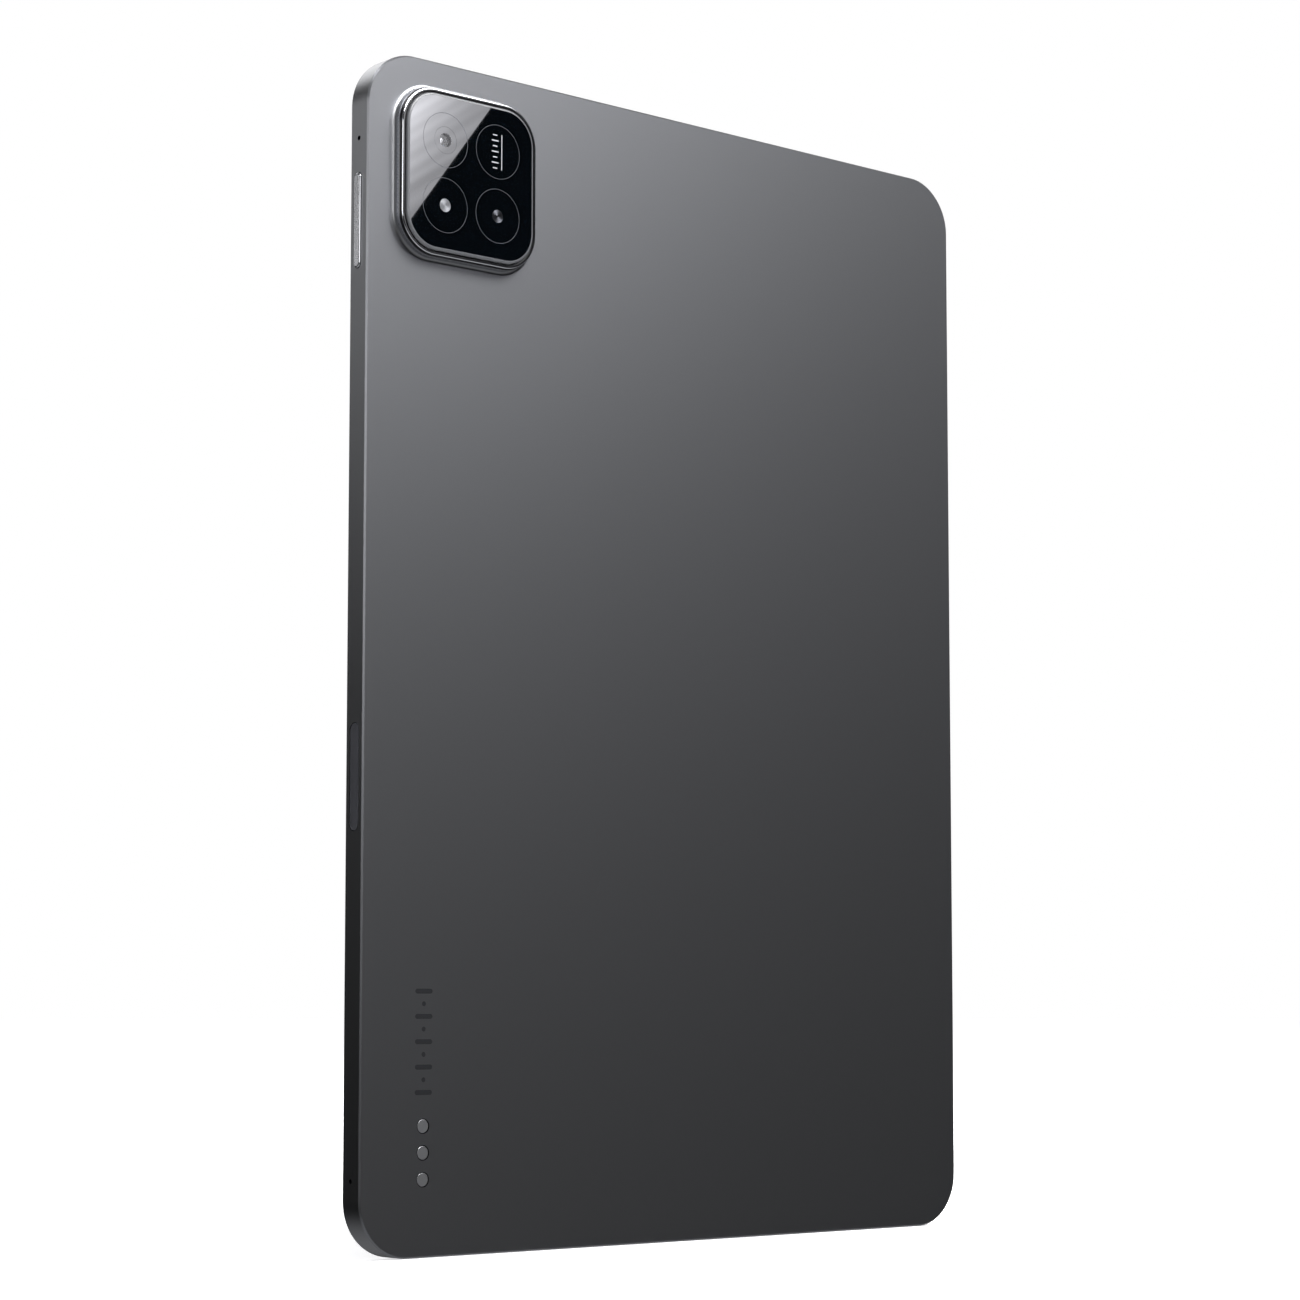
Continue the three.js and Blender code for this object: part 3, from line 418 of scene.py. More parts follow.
class Facing(Enum):
    """Which way a work plane faces, as the frame directions of its right, up and out."""

    BACK = ((-1, 0, 0), (0, 0, 1), (0, 1, 0))
    FRONT = ((1, 0, 0), (0, 0, 1), (0, -1, 0))
    SIDE = ((0, 1, 0), (0, 0, 1), (1, 0, 0))
    TOP = ((1, 0, 0), (0, 1, 0), (0, 0, 1))
    BOTTOM = ((1, 0, 0), (0, -1, 0), (0, 0, -1))

    def plane(self, origin: Iterable[float] = (0.0, 0.0, 0.0)) -> Matrix:
        """Returns the matrix that sets this work plane at a point of the frame, in mm."""
        turn = Matrix([Vector(axis) for axis in self.value]).transposed().to_4x4()
        return Matrix.Translation(Vector(origin)) @ turn

    def seen(self, point: Vector) -> Vector:
        """Returns a point of the frame as measured along this work plane's right, up and out."""
        return Vector([Vector(axis).dot(point) for axis in self.value])


class Blank:
    """A piece in the making: a mesh in millimetres, drawn on a work plane whose third axis points out.

    Attributes:
        bm: The mesh.
        base: The inner face of the plate that was added last.
    """

    def __init__(self) -> None:
        """Starts with nothing."""
        self.bm = bmesh.new()
        self.base: BMFace | None = None

    def slab(
        self,
        width: float,
        height: float,
        radius: float,
        low: float,
        high: float,
        at: Point = (0.0, 0.0),
        segments: int = 12,
    ) -> BMFace:
        """Adds a plate with round corners.

        Args:
            width: Its size along the first axis.
            height: Its size along the second axis.
            radius: The radius of its corners; half the width makes a slot or a disc.
            low: Where it starts along the third axis.
            high: Where it ends along the third axis.
            at: Its centre.
            segments: The facets of each corner.

        Returns:
            Its outer face.
        """
        grid = bmesh.ops.create_grid(self.bm, x_segments=1, y_segments=1, size=0.5)
        corners = grid["verts"]
        bmesh.ops.scale(self.bm, vec=(width, height, 1), verts=corners)
        bmesh.ops.translate(self.bm, vec=(at[0], at[1], low), verts=corners)
        if radius > 0:
            corners = bmesh.ops.bevel(
                self.bm,
                geom=corners,
                affect="VERTICES",
                offset=radius,
                offset_type="OFFSET",
                segments=segments,
                profile=0.5,
                material=-1,
                clamp_overlap=False,
            )["verts"]
            bmesh.ops.remove_doubles(self.bm, verts=corners, dist=MERGE)
        self.base = next(vert for vert in corners if vert.is_valid).link_faces[0]
        return self.push([self.base], high - low)[0]

    def ring(
        self,
        width: float,
        height: float,
        radius: float,
        wall: float,
        low: float,
        high: float,
        segments: int = 24,
    ) -> "Blank":
        """Adds a plate with an opening that leaves a wall of the same width all round.

        Args:
            width: Its outer size along the first axis.
            height: Its outer size along the second axis.
            radius: The radius of its outer corners.
            wall: The width of its wall.
            low: Where it starts along the third axis.
            high: Where it ends along the third axis.
            segments: The facets of each corner.

        Returns:
            The mesh.
        """
        outer = self.slab(width, height, radius, low, high, segments=segments)
        ends = [self.step(face, wall) for face in (outer, self.base)]
        rims = [edge for face in ends for edge in face.edges]
        bmesh.ops.delete(self.bm, geom=ends, context="FACES_ONLY")
        bmesh.ops.bridge_loops(self.bm, edges=rims)
        return self

    def push(self, faces: Sequence[BMFace], depth: float) -> list[BMFace]:
        """Extrudes faces along the third axis.

        Args:
            faces: The faces to push.
            depth: How far.

        Returns:
            The faces at the far end.
        """
        made = bmesh.ops.extrude_face_region(self.bm, geom=list(faces))["geom"]
        verts = [part for part in made if isinstance(part, BMVert)]
        bmesh.ops.translate(self.bm, vec=(0, 0, depth), verts=verts)
        return [part for part in made if isinstance(part, BMFace)]

    def step(self, face: BMFace, inward: float, rise: float = 0.0) -> BMFace:
        """Draws a face in from its own outline, and lifts it.

        Args:
            face: The face.
            inward: How far its outline moves in.
            rise: How far it moves out along its normal.

        Returns:
            The same face, now smaller.
        """
        bmesh.ops.inset_region(
            self.bm, faces=[face], thickness=inward, depth=rise, use_even_offset=True, use_boundary=True
        )
        return face

    def cove(self, face: BMFace, across: float, rise: float, steps: int = 8) -> BMFace:
        """Climbs from a face's outline in a hollow curve that starts flat and ends upright.

        Args:
            face: The face at the foot.
            across: The width of the curve.
            rise: Its height.
            steps: How many facets it has.

        Returns:
            The same face, at the top.
        """
        turn = math.pi / 2 / steps
        for i in range(steps):
            inward = across * (math.sin((i + 1) * turn) - math.sin(i * turn))
            lift = rise * (math.cos(i * turn) - math.cos((i + 1) * turn))
            self.step(face, inward, lift)
        return face

    def soften(self, edges: Iterable[BMEdge], width: float, segments: int = 2) -> list[BMFace]:
        """Rounds or cuts edges.

        Args:
            edges: The edges.
            width: How far the cut reaches on each side.
            segments: 1 for a chamfer, more for a round edge.

        Returns:
            The new faces.
        """
        return bmesh.ops.bevel(
            self.bm,
            geom=list(edges),
            affect="EDGES",
            offset=width,
            offset_type="OFFSET",
            segments=segments,
            profile=0.5,
            material=-1,
            clamp_overlap=True,
        )["faces"]

    def turn(self, profile: Sequence[Point], segments: int = 48) -> "Blank":
        """Spins a profile about the third axis.

        Args:
            profile: Points of radius and height, from the axis back to the axis.
            segments: The facets of the round.

        Returns:
            The mesh.
        """
        verts = [self.bm.verts.new((radius, 0, height)) for radius, height in profile]
        edges = [self.bm.edges.new(pair) for pair in zip(verts, verts[1:])]
        bmesh.ops.spin(
            self.bm,
            geom=verts + edges,
            cent=(0, 0, 0),
            axis=(0, 0, 1),
            dvec=(0, 0, 0),
            angle=math.tau,
            steps=segments,
            use_merge=True,
            use_duplicate=False,
        )
        bmesh.ops.remove_doubles(self.bm, verts=self.bm.verts, dist=MERGE)
        return self

    def put(self, place: Matrix) -> "Blank":
        """Moves the whole mesh by a matrix, and returns it."""
        bmesh.ops.transform(self.bm, matrix=place, verts=self.bm.verts)
        return self

    def paint(self, slot: int) -> "Blank":
        """Gives every face one of the piece's finishes.

        Args:
            slot: The finish's place in the piece's list.

        Returns:
            The mesh.
        """
        for face in self.bm.faces:
            face.material_index = slot
        return self

    def close(self) -> None:
        """Welds the seams and turns the faces outwards."""
        bmesh.ops.remove_doubles(self.bm, verts=self.bm.verts, dist=MERGE)
        bmesh.ops.recalc_face_normals(self.bm, faces=self.bm.faces)

    def mesh(self, name: str) -> bpy.types.Mesh:
        """Makes a closed mesh of what is made so far.

        Args:
            name: The mesh's name.

        Returns:
            The mesh.
        """
        self.close()
        mesh = bpy.data.meshes.new(name)
        self.bm.to_mesh(mesh)
        return mesh

    def gather(self, others: Iterable["Blank"]) -> "Blank":
        """Adds copies of other meshes beside this one.

        Args:
            others: The meshes.

        Returns:
            This mesh.
        """
        for other in others:
            mesh = other.mesh("copy")
            self.bm.from_mesh(mesh)
            bpy.data.meshes.remove(mesh)
        return self

    def combine(self, others: Iterable["Blank"], operation: str = "DIFFERENCE") -> "Blank":
        """Cuts other meshes out of this one, or joins them to it.

        Args:
            others: Closed meshes that keep clear of each other.
            operation: DIFFERENCE or UNION.

        Returns:
            This mesh, changed.
        """
        stock = bpy.data.objects.new("stock", self.mesh("stock"))
        tool = bpy.data.objects.new("tool", Blank().gather(others).mesh("tool"))
        for part in (stock, tool):
            bpy.context.scene.collection.objects.link(part)
        boolean = stock.modifiers.new("boolean", "BOOLEAN")
        boolean.object = tool
        boolean.operation = operation
        boolean.solver = "EXACT"
        boolean.material_mode = "INDEX"
        graph = bpy.context.evaluated_depsgraph_get()
        self.bm.clear()
        self.bm.from_mesh(stock.evaluated_get(graph).to_mesh())
        for part in (stock, tool):
            mesh = part.data
            bpy.data.objects.remove(part)
            bpy.data.meshes.remove(mesh)
        return self

    def crease(self) -> None:
        """Marks the crisp edges: sharp turns, and the borders of faces that lie square to the frame."""
        self.bm.normal_update()

        def square(face: BMFace) -> bool:
            """Whether a face lies square to the frame."""
            return max(abs(part) for part in face.normal) > 1 - 1e-6

        for face in self.bm.faces:
            face.smooth = True
        for edge in self.bm.edges:
            sides = edge.link_faces
            edge.smooth = (
                len(sides) == 2
                and edge.calc_face_angle(0.0) < SHARP_ANGLE
                and square(sides[0]) == square(sides[1])
            )


def plate(
    place: Matrix,
    size: Point,
    low: float,
    high: float,
    radius: float | None = None,
    at: Point = (0.0, 0.0),
    segments: int = 12,
    slot: int = 0,
) -> Blank:
    """Makes a blank of one plate and sets it in the frame.

    Args:
        place: Its work plane.
        size: Its sizes along the first and second axes.
        low: Where it starts along the third axis.
        high: Where it ends.
        radius: The radius of its corners; without one its ends are half round.
        at: Its centre on the work plane.
        segments: The facets of each corner.
        slot: Which of the piece's finishes it brings.

    Returns:
        The blank.
    """
    blank = Blank()
    blank.slab(*size, min(size) / 2 if radius is None else radius, low, high, at, segments)
    return blank.put(place).paint(slot)


def round_plate(
    place: Matrix,
    radius: float,
    low: float,
    high: float,
    at: Point = (0.0, 0.0),
    segments: int = 12,
    slot: int = 0,
) -> Blank:
    """Makes a blank of one disc and sets it in the frame.

    Args:
        place: Its work plane.
        radius: Its radius.
        low: Where it starts along the third axis.
        high: Where it ends.
        at: Its centre on the work plane.
        segments: The facets of each quarter.
        slot: Which of the piece's finishes it brings.

    Returns:
        The blank.
    """
    return plate(place, (2 * radius, 2 * radius), low, high, radius, at, segments, slot)


def quarter(radius: float, rise: float, steps: int, foot: float = 0.0) -> list[Point]:
    """Draws the profile of a dome, from its rim up to just short of its crown.

    Args:
        radius: The dome's radius.
        rise: Its height.
        steps: The facets of the quarter round.
        foot: The height of its rim.

    Returns:
        Points of radius and height.
    """
    turns = [i / steps * math.pi / 2 for i in range(steps)]
    return [(radius * math.cos(turn), foot + rise * math.sin(turn)) for turn in turns]


def finish_piece(
    name: str,
    blank: Blank,
    finishes: Sequence[Finish],
    slot: str,
    replaces: Sequence[str] = (),
    body: str = "housing",
) -> bpy.types.Object:
    """Turns a blank, already placed in the frame, into a dressed piece.

    Args:
        name: The piece's name.
        blank: Its mesh, in mm.
        finishes: The finishes that its faces choose from.
        slot: The record's material slot; it is not used.
        replaces: The frame nodes that it stands for.
        body: The body that it moves with.

    Returns:
        The piece.
    """
    blank.close()
    blank.crease()
    bmesh.ops.scale(blank.bm, vec=(MM, MM, MM), verts=blank.bm.verts)
    mesh = bpy.data.meshes.new(name)
    blank.bm.to_mesh(mesh)
    blank.bm.free()
    for finish in finishes:
        mesh.materials.append(finish.material())
    piece = bpy.data.objects.new(name, mesh)
    bpy.context.scene.collection.objects.link(piece)
    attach(piece, body)
    if replaces:
        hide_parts(*replaces)
    log.info("%s: %d faces, rides on %s", name, len(mesh.polygons), body)
    return piece


# ---- Planes and sizes that the sub-assemblies share ----


@dataclass(frozen=True)
class Layout:
    """The tablet's main planes, in mm in the frame.

    Attributes:
        pedestal_rise: How far the camera pedestal stands above the back.
        back_wall: The thickness of the back.
        side_wall: The thickness of the side walls.
        corner_radius: The radius of the tablet's corners.
        cover: The box of the rear cover.
        glass: The box of the screen's glass.
        island: The box of the camera island's glass.
    """

    pedestal_rise: float = 0.8
    back_wall: float = 0.8
    side_wall: float = 2.0
    corner_radius: float = 12.0
    cover: Span = field(default_factory=lambda: Span.of("rear_cover"))
    glass: Span = field(default_factory=lambda: Span.of("cover_glass"))
    island: Span = field(default_factory=lambda: Span.of("island_glass"))

    @property
    def back(self) -> float:
        """The plane of the back."""
        return self.cover.high.y - self.pedestal_rise

    @property
    def front(self) -> float:
        """The face of the cover glass."""
        return self.glass.low.y

    @property
    def inner_back(self) -> float:
        """The inner face of the back."""
        return self.back - self.back_wall

    @property
    def right(self) -> float:
        """The outer face of the wall with the volume key."""
        return self.cover.high.x

    @property
    def top(self) -> float:
        """The outer face of the top wall."""
        return self.cover.high.z

    def centred(self) -> Matrix:
        """Returns the work plane through the tablet's middle that faces the back."""
        return self.cover.plane()

    def on_island(self, along: float = 0.0, up: float = 0.0) -> Matrix:
        """Returns a work plane on the back at the island's centre, moved along X and up Z."""
        centre = self.island.centre
        return Facing.BACK.plane((centre.x + along, self.back, centre.z + up))

    def above_back(self, span: Span) -> Point:
        """Returns the heights above the back at which a node's box starts and ends."""
        return span.low.y - self.back, span.high.y - self.back


# ---- Housing ----


@dataclass
class Housing:
    """The rear cover: the back and the four walls in one piece, with all that is cut through them.

    Attributes:
        edge_chamfer: The width of the cut along the outer rims.
        rim: The wall that is left beside the screen's glass.
        ledge_depth: How deep the glass is let in.
        corner_facets: The facets of each outer corner.
        slide: The gap round a key or the charging port.
        pedestal_across: The width of the hollow curve at the pedestal's foot.
        pedestal_offset: How far the pedestal reaches past the island's glass.
        glass_radius: The radius of that glass's corners.
        grille_from_centre: How far a grille's middle is from the tablet's.
        pen_clearance: The gap round the pen window.
        pen_round: The rounding of that window's rim.
        boss_radius: The radius of the boss behind each screw.
        screw_hole: The radius of the screw's hole.
        screw_short: How much shorter that hole is than the boss with its root.
        camera_gap: The gap round what stands in the camera holes.
        contact_clearance: The gap round a keyboard contact.
        mark_above_contacts: How far the plain mark starts above the last contact.
        mark_lengths: The lengths of its strokes and dots.
        mark_skin: How far the dark inlay lies below the back.
        mark_gap: How much smaller the inlay is than its recess, on each side.
    """

    layout: Layout
    edge_chamfer: float = 0.35
    rim: float = 0.7
    ledge_depth: float = 0.85
    corner_facets: int = 32
    slide: float = 0.15
    pedestal_across: float = 0.85
    pedestal_offset: float = 1.25
    glass_radius: float = 7.6
    grille_holes: int = 10
    grille_pitch: float = 2.2
    grille_radius: float = 0.5
    grille_from_centre: float = 40.0
    speaker_mesh: float = 0.15
    mesh_width: float = 2.2
    microphone_radius: float = 0.5
    pen_clearance: float = 0.15
    pen_round: float = 0.06
    boss_radius: float = 1.8
    boss: float = 0.6
    screw_hole: float = 0.85
    screw_short: float = 0.1
    camera_gap: float = 0.4
    contact_clearance: float = 0.05
    mark_above_contacts: float = 6.9
    mark_lengths: tuple[float, ...] = (4.4, 1.0, 4.4, 1.0, 4.4, 1.0, 4.4, 1.0, 4.4)
    mark_pitch: float = 2.6
    mark_stroke: float = 1.0
    mark_recess: float = 0.05
    mark_skin: float = 0.015
    mark_gap: float = 0.02

    def block(self) -> Blank:
        """Makes the solid block that the cover is milled from, with its two cut rims.

        Returns:
            The block, in the frame.
        """
        layout, size = self.layout, self.layout.cover.size
        blank = Blank()
        outer = blank.slab(
            size.x, size.z, layout.corner_radius, layout.cover.low.y, layout.back, segments=self.corner_facets
        )
        for face in blank.soften([*outer.edges, *blank.base.edges], self.edge_chamfer, segments=1):
            face.material_index = 2
        return blank.put(layout.centred())

    def pedestal(self) -> Blank:
        """Makes the low pedestal of the camera island, whose foot flows out of the back in a hollow curve.

        Returns:
            The pedestal, in the frame.
        """
        layout, size = self.layout, self.layout.island.size
        reach, root = self.pedestal_offset + self.pedestal_across, -layout.back_wall / 2
        blank = Blank()
        foot = blank.slab(
            size.x + 2 * reach, size.z + 2 * reach, self.glass_radius + reach, root, 0, segments=20
        )
        blank.cove(foot, self.pedestal_across, layout.pedestal_rise)
        return blank.put(layout.on_island())

    def cavity(self) -> Blank:
        """Makes the space inside the cover: a rebate for the glass, then the room behind it.

        Returns:
            The cutter for it, in the frame.
        """
        layout, size, rim = self.layout, self.layout.cover.size, self.rim
        ledge = layout.front + self.ledge_depth
        blank = Blank()
        floor = blank.slab(
            size.x - 2 * rim, size.z - 2 * rim, layout.corner_radius - rim, layout.front - PAST, ledge,
            segments=self.corner_facets,
        )
        blank.step(floor, layout.side_wall - rim)
        blank.push([floor], layout.inner_back - ledge)
        return blank.put(layout.centred()).paint(1)

    def slots(self) -> list[Blank]:
        """Makes the cutters for the keys, the pen window and the charging port.

        Returns:
            The cutters.
        """
        layout, window, port = self.layout, Span.of("pen_window"), Span.of("usb_shell")
        wall = layout.side_wall + PAST
        right = (layout.right - wall, layout.right + PAST)
        top = (layout.top - wall, layout.top + PAST)
        pen, mouth = (window.size.y, window.size.z), (port.size.x, port.size.y)
        cutters = []
        for facing, size, gap, span, (low, high) in (
            (Facing.SIDE, VolumeKey.bar, self.slide, Span.of("volume_rocker_switch"), right),
            (Facing.SIDE, pen, self.pen_clearance, window, right),
            (Facing.TOP, PowerKey.bar, self.slide, Span.of("power_key_switch"), top),
            (Facing.TOP, mouth, self.slide, port, (-PAST, wall)),
        ):
            size = (size[0] + 2 * gap, size[1] + 2 * gap)
            cutters.append(plate(facing.plane(), size, low, high, at=facing.seen(span.centre).xy, slot=1))
        return cutters

    def grille_places(self) -> list[Point]:
        """Finds the places of the speaker grilles.

        Returns:
            The middle of each along X, with the height of its wall.
        """
        middle, wall = self.layout.cover.centre.x, self.layout.side_wall / 2
        return [
            (middle + side * self.grille_from_centre, z)
            for side in (-1, 1)
            for z in (wall, self.layout.top - wall)
        ]

    def small_holes(self) -> list[Blank]:
        """Makes the cutters for the grilles, the microphones and the contacts.

        Returns:
            The cutters.
        """
        layout = self.layout
        wall = layout.side_wall
        middle = (layout.front + layout.back) / 2
        cutters = []
        for x, z in self.grille_places():
            for i in range(self.grille_holes):
                at = (x + (i - (self.grille_holes - 1) / 2) * self.grille_pitch, middle)
                cutters.append(
                    round_plate(Facing.TOP.plane(), self.grille_radius, z - wall, z + wall, at, 5, slot=1)
                )
        low, high = layout.right - wall - PAST, layout.right + PAST
        for name in ("microphone_upper", "microphone_lower"):
            at = (middle, Span.of(name).centre.z)
            cutters.append(round_plate(Facing.SIDE.plane(), self.microphone_radius, low, high, at, 8, slot=1))
        low, high = layout.inner_back - PAST, layout.back + PAST
        for contact in (Span.of(f"contact_{i}") for i in range(1, 4)):
            radius = contact.size.x / 2 + self.contact_clearance
            cutters.append(round_plate(contact.plane(), radius, low, high, segments=16, slot=1))
        return cutters

    def camera_holes(self) -> list[Blank]:
        """Makes the cutters under the camera island.

        Returns:
            The cutters.
        """
        layout, camera = self.layout, Span.of("camera_housing")
        low, high = layout.inner_back - PAST, layout.cover.high.y + PAST
        size = camera.size.x + self.camera_gap
        cutters = [plate(camera.plane(), (size, size), low, high, 1, segments=4, slot=1)]
        for span in (Span.of("flash_lens"), Span.of("sensor_lens")):
            cutters.append(round_plate(span.plane(), span.size.x / 2 + self.camera_gap, low, high, slot=1))
        return cutters

    def mark_shapes(self, low: float, high: float, inset: float = 0.0) -> list[Blank]:
        """Makes a plain mark of dots and strokes above the contacts, as slabs between two heights.

        Args:
            low: Where the slabs start, from the back.
            high: Where they end.
            inset: How much smaller they are than their recess.

        Returns:
            One slab for each dot or stroke.
        """
        contact = Span.of("contact_3").centre
        shapes = []
        for i, length in enumerate(self.mark_lengths):
            height = contact.z + self.mark_above_contacts + i * self.mark_pitch
            plane = Facing.BACK.plane((contact.x, self.layout.back, height))
            size = (length - 2 * inset, self.mark_stroke - 2 * inset)
            shapes.append(plate(plane, size, low, high, size[1] / 2, segments=6, slot=1))
        return shapes

    def build_cover(self) -> None:
        """Mills the rear cover."""
        layout, inner = self.layout, self.layout.inner_back
        screws = [Span.of(f"board_screw_{i}").plane() for i in range(1, 5)]
        reach, low = inner + layout.back_wall / 2, inner - self.boss
        bosses = [round_plate(at, self.boss_radius, low, reach, segments=6, slot=1) for at in screws]
        cutters = [
            round_plate(at, self.screw_hole, low - PAST, reach - self.screw_short, segments=4, slot=1)
            for at in screws
        ]
        cutters += [*self.slots(), *self.small_holes(), *self.camera_holes()]
        cutters += self.mark_shapes(-self.mark_recess, PAST)
        blank = self.block().combine([self.pedestal()], "UNION").combine([self.cavity()])
        blank.combine(bosses, "UNION").combine(cutters)
        # Hole walls, recesses and the cavity take the dark milled finish, which is painted shade.
        finish_piece("rear_shell", blank, (BLASTED, MILLED_SHADE, DIAMOND_CUT), "housing", ["rear_cover"])

    def build_mark(self) -> None:
        """Makes the dark inlay of the plain mark."""
        shapes = self.mark_shapes(-self.mark_recess, -self.mark_skin, self.mark_gap)
        finish_piece("plain_mark", Blank().gather(shapes).paint(0), (LASER_MARK,), "black_trim")

    def build_meshes(self) -> None:
        """Makes the dust mesh behind each grille."""
        layout, thick = self.layout, self.speaker_mesh
        wall, middle = layout.side_wall, (layout.front + layout.back) / 2
        size = (self.grille_holes * self.grille_pitch, self.mesh_width)
        names = ("left_bottom", "left_top", "right_bottom", "right_top")
        for name, (x, z) in zip(names, self.grille_places()):
            low = wall if z < layout.top / 2 else layout.top - wall - thick
            blank = plate(Facing.TOP.plane(), size, low, low + thick, at=(x, middle))
            finish_piece(f"dust_mesh_{name}", blank, (DUST_MESH,), "black_trim")

    def build_pen_window(self) -> None:
        """Makes the painted plastic window that the pen charges through."""
        window = Span.of("pen_window")
        size, at = window.size, (window.centre.y, window.centre.z)
        blank = Blank()
        face = blank.slab(size.y, size.z, size.y / 2, window.low.x, window.high.x, at, segments=16)
        blank.soften(face.edges, self.pen_round)
        blank.put(Facing.SIDE.plane())
        finish_piece("pen_charging_window", blank, (PAINTED_PLASTIC,), "pen_window_cover", ["pen_window"])

    def build(self) -> None:
        """Makes the whole sub-assembly."""
        self.build_cover()
        self.build_mark()
        self.build_meshes()
        self.build_pen_window()


# ---- Keys ----


@dataclass
class Key:
    """A key: a bar through a slot in a wall, with a flange behind the wall and nubs that press its switches.

    Attributes:
        name: The piece's name.
        node: The name of its frame node and of its body.
        facing: The way it faces.
        bar: Its sizes along the work plane's first and second axes.
        flange_over: How much larger the flange is than the bar along each axis.
        levers: How far each nub is from the key's middle along the second axis.
        round_over: The rounding of its rim.
        round_facets: The facets of that rounding.
        flange_gap: The gap between the flange and the wall at rest.
    """

    layout: Layout
    name: str
    node: str
    facing: Facing
    bar: Point
    flange_over: Point
    levers: tuple[float, ...]
    round_over: float
    round_facets: int
    flange: float = 0.5
    flange_gap: float = 0.3
    nub: float = 0.3
    nub_radius: float = 0.8

    def build(self) -> None:
        """Makes the key."""
        place, node = self.facing.plane(), Span.of(self.node)
        along, up = self.facing.seen(Span.of(f"{self.node}_switch").centre).xy
        wall = self.facing.seen(self.layout.cover.high).z - self.layout.side_wall
        outer = wall - self.flange_gap
        inner = outer - self.flange
        cap = Blank()
        top = self.facing.seen(node.high).z
        face = cap.slab(*self.bar, min(self.bar) / 2, inner, top, (along, up), segments=16)
        cap.soften(face.edges, self.round_over, self.round_facets)
        size = (self.bar[0] + self.flange_over[0], self.bar[1] + self.flange_over[1])
        flange = plate(place, size, inner, outer, at=(along, up))
        nubs = [
            round_plate(
                place, self.nub_radius, inner - self.nub, inner + self.flange / 2, (along, up + lever), 6
            )
            for lever in self.levers
        ]
        cap.put(place).combine([flange], "UNION").combine(nubs, "UNION")
        # The key's light base colour is a painted highlight.
        finish_piece(self.name, cap, (POLISHED_KEY_SHEEN,), "housing", [self.node], self.node)


@dataclass
class VolumeKey(Key):
    """The volume key, a proud bar that rocks on two switches through a slot in the side wall."""

    name: str = "volume_key"
    node: str = "volume_rocker"
    facing: Facing = Facing.SIDE
    bar: Point = (2.1, 20.2)
    flange_over: Point = (0.9, 2.0)
    levers: tuple[float, ...] = (-6.0, 6.0)
    round_over: float = 0.36
    round_facets: int = 5


@dataclass
class PowerKey(Key):
    """The power key, a flush bar pressed straight into the top wall."""

    name: str = "power_button"
    node: str = "power_key"
    facing: Facing = Facing.TOP
    bar: Point = (14.0, 2.1)
    flange_over: Point = (2.0, 0.9)
    levers: tuple[float, ...] = (0.0,)
    round_over: float = 0.12
    round_facets: int = 3


# ---- Charging port ----


@dataclass
class ChargingPort:
    """The charging port in the bottom edge: a steel shell, and a tongue with gold pads.

    Attributes:
        wall: The thickness of the shell.
        tongue_round: The radius of the tongue's corners.
        pad_start: Where the pads start, from the tongue's tip.
        pad_end: Where they end, from the same tip.
        pad_height: How far they stand out.
    """

    wall: float = 0.25
    tongue_round: float = 0.12
    pads: int = 12
    pad_pitch: float = 0.5
    pad_width: float = 0.28
    pad_start: float = 0.3
    pad_end: float = 3.2
    pad_height: float = 0.03

    def build(self) -> None:
        """Makes the shell, the tongue and the pads."""
        shell, tongue = Span.of("usb_shell"), Span.of("usb_tongue")
        upright = Facing.TOP.plane()
        x, y = shell.centre.xy
        size = shell.size
        cup = Blank()
        cup.slab(size.x, size.y, size.y / 2, shell.low.z, shell.high.z, (x, y), segments=14)
        cup.push([cup.step(cup.base, self.wall)], size.z - self.wall)
        finish_piece("usb_sleeve", cup.put(upright), (TINNED_STEEL,), "steel", ["usb_shell"])
        size, tip = tongue.size, tongue.low.z
        bar = plate(upright, size.xy, tip, tongue.high.z, self.tongue_round, (x, y), segments=3)
        finish_piece("usb_tongue_bar", bar, (NYLON,), "moulded_plastic", ["usb_tongue"])
        rows = Blank()
        for i in range(self.pads):
            along = x + (i - (self.pads - 1) / 2) * self.pad_pitch
            for side in (-1, 1):
                at = (along, y + side * (size.y + self.pad_height) / 2)
                rows.slab(self.pad_width, self.pad_height, 0, tip + self.pad_start, tip + self.pad_end, at)
        finish_piece("usb_pads", rows.put(upright), (GOLD,), "contact_metal")


# ---- Camera island ----


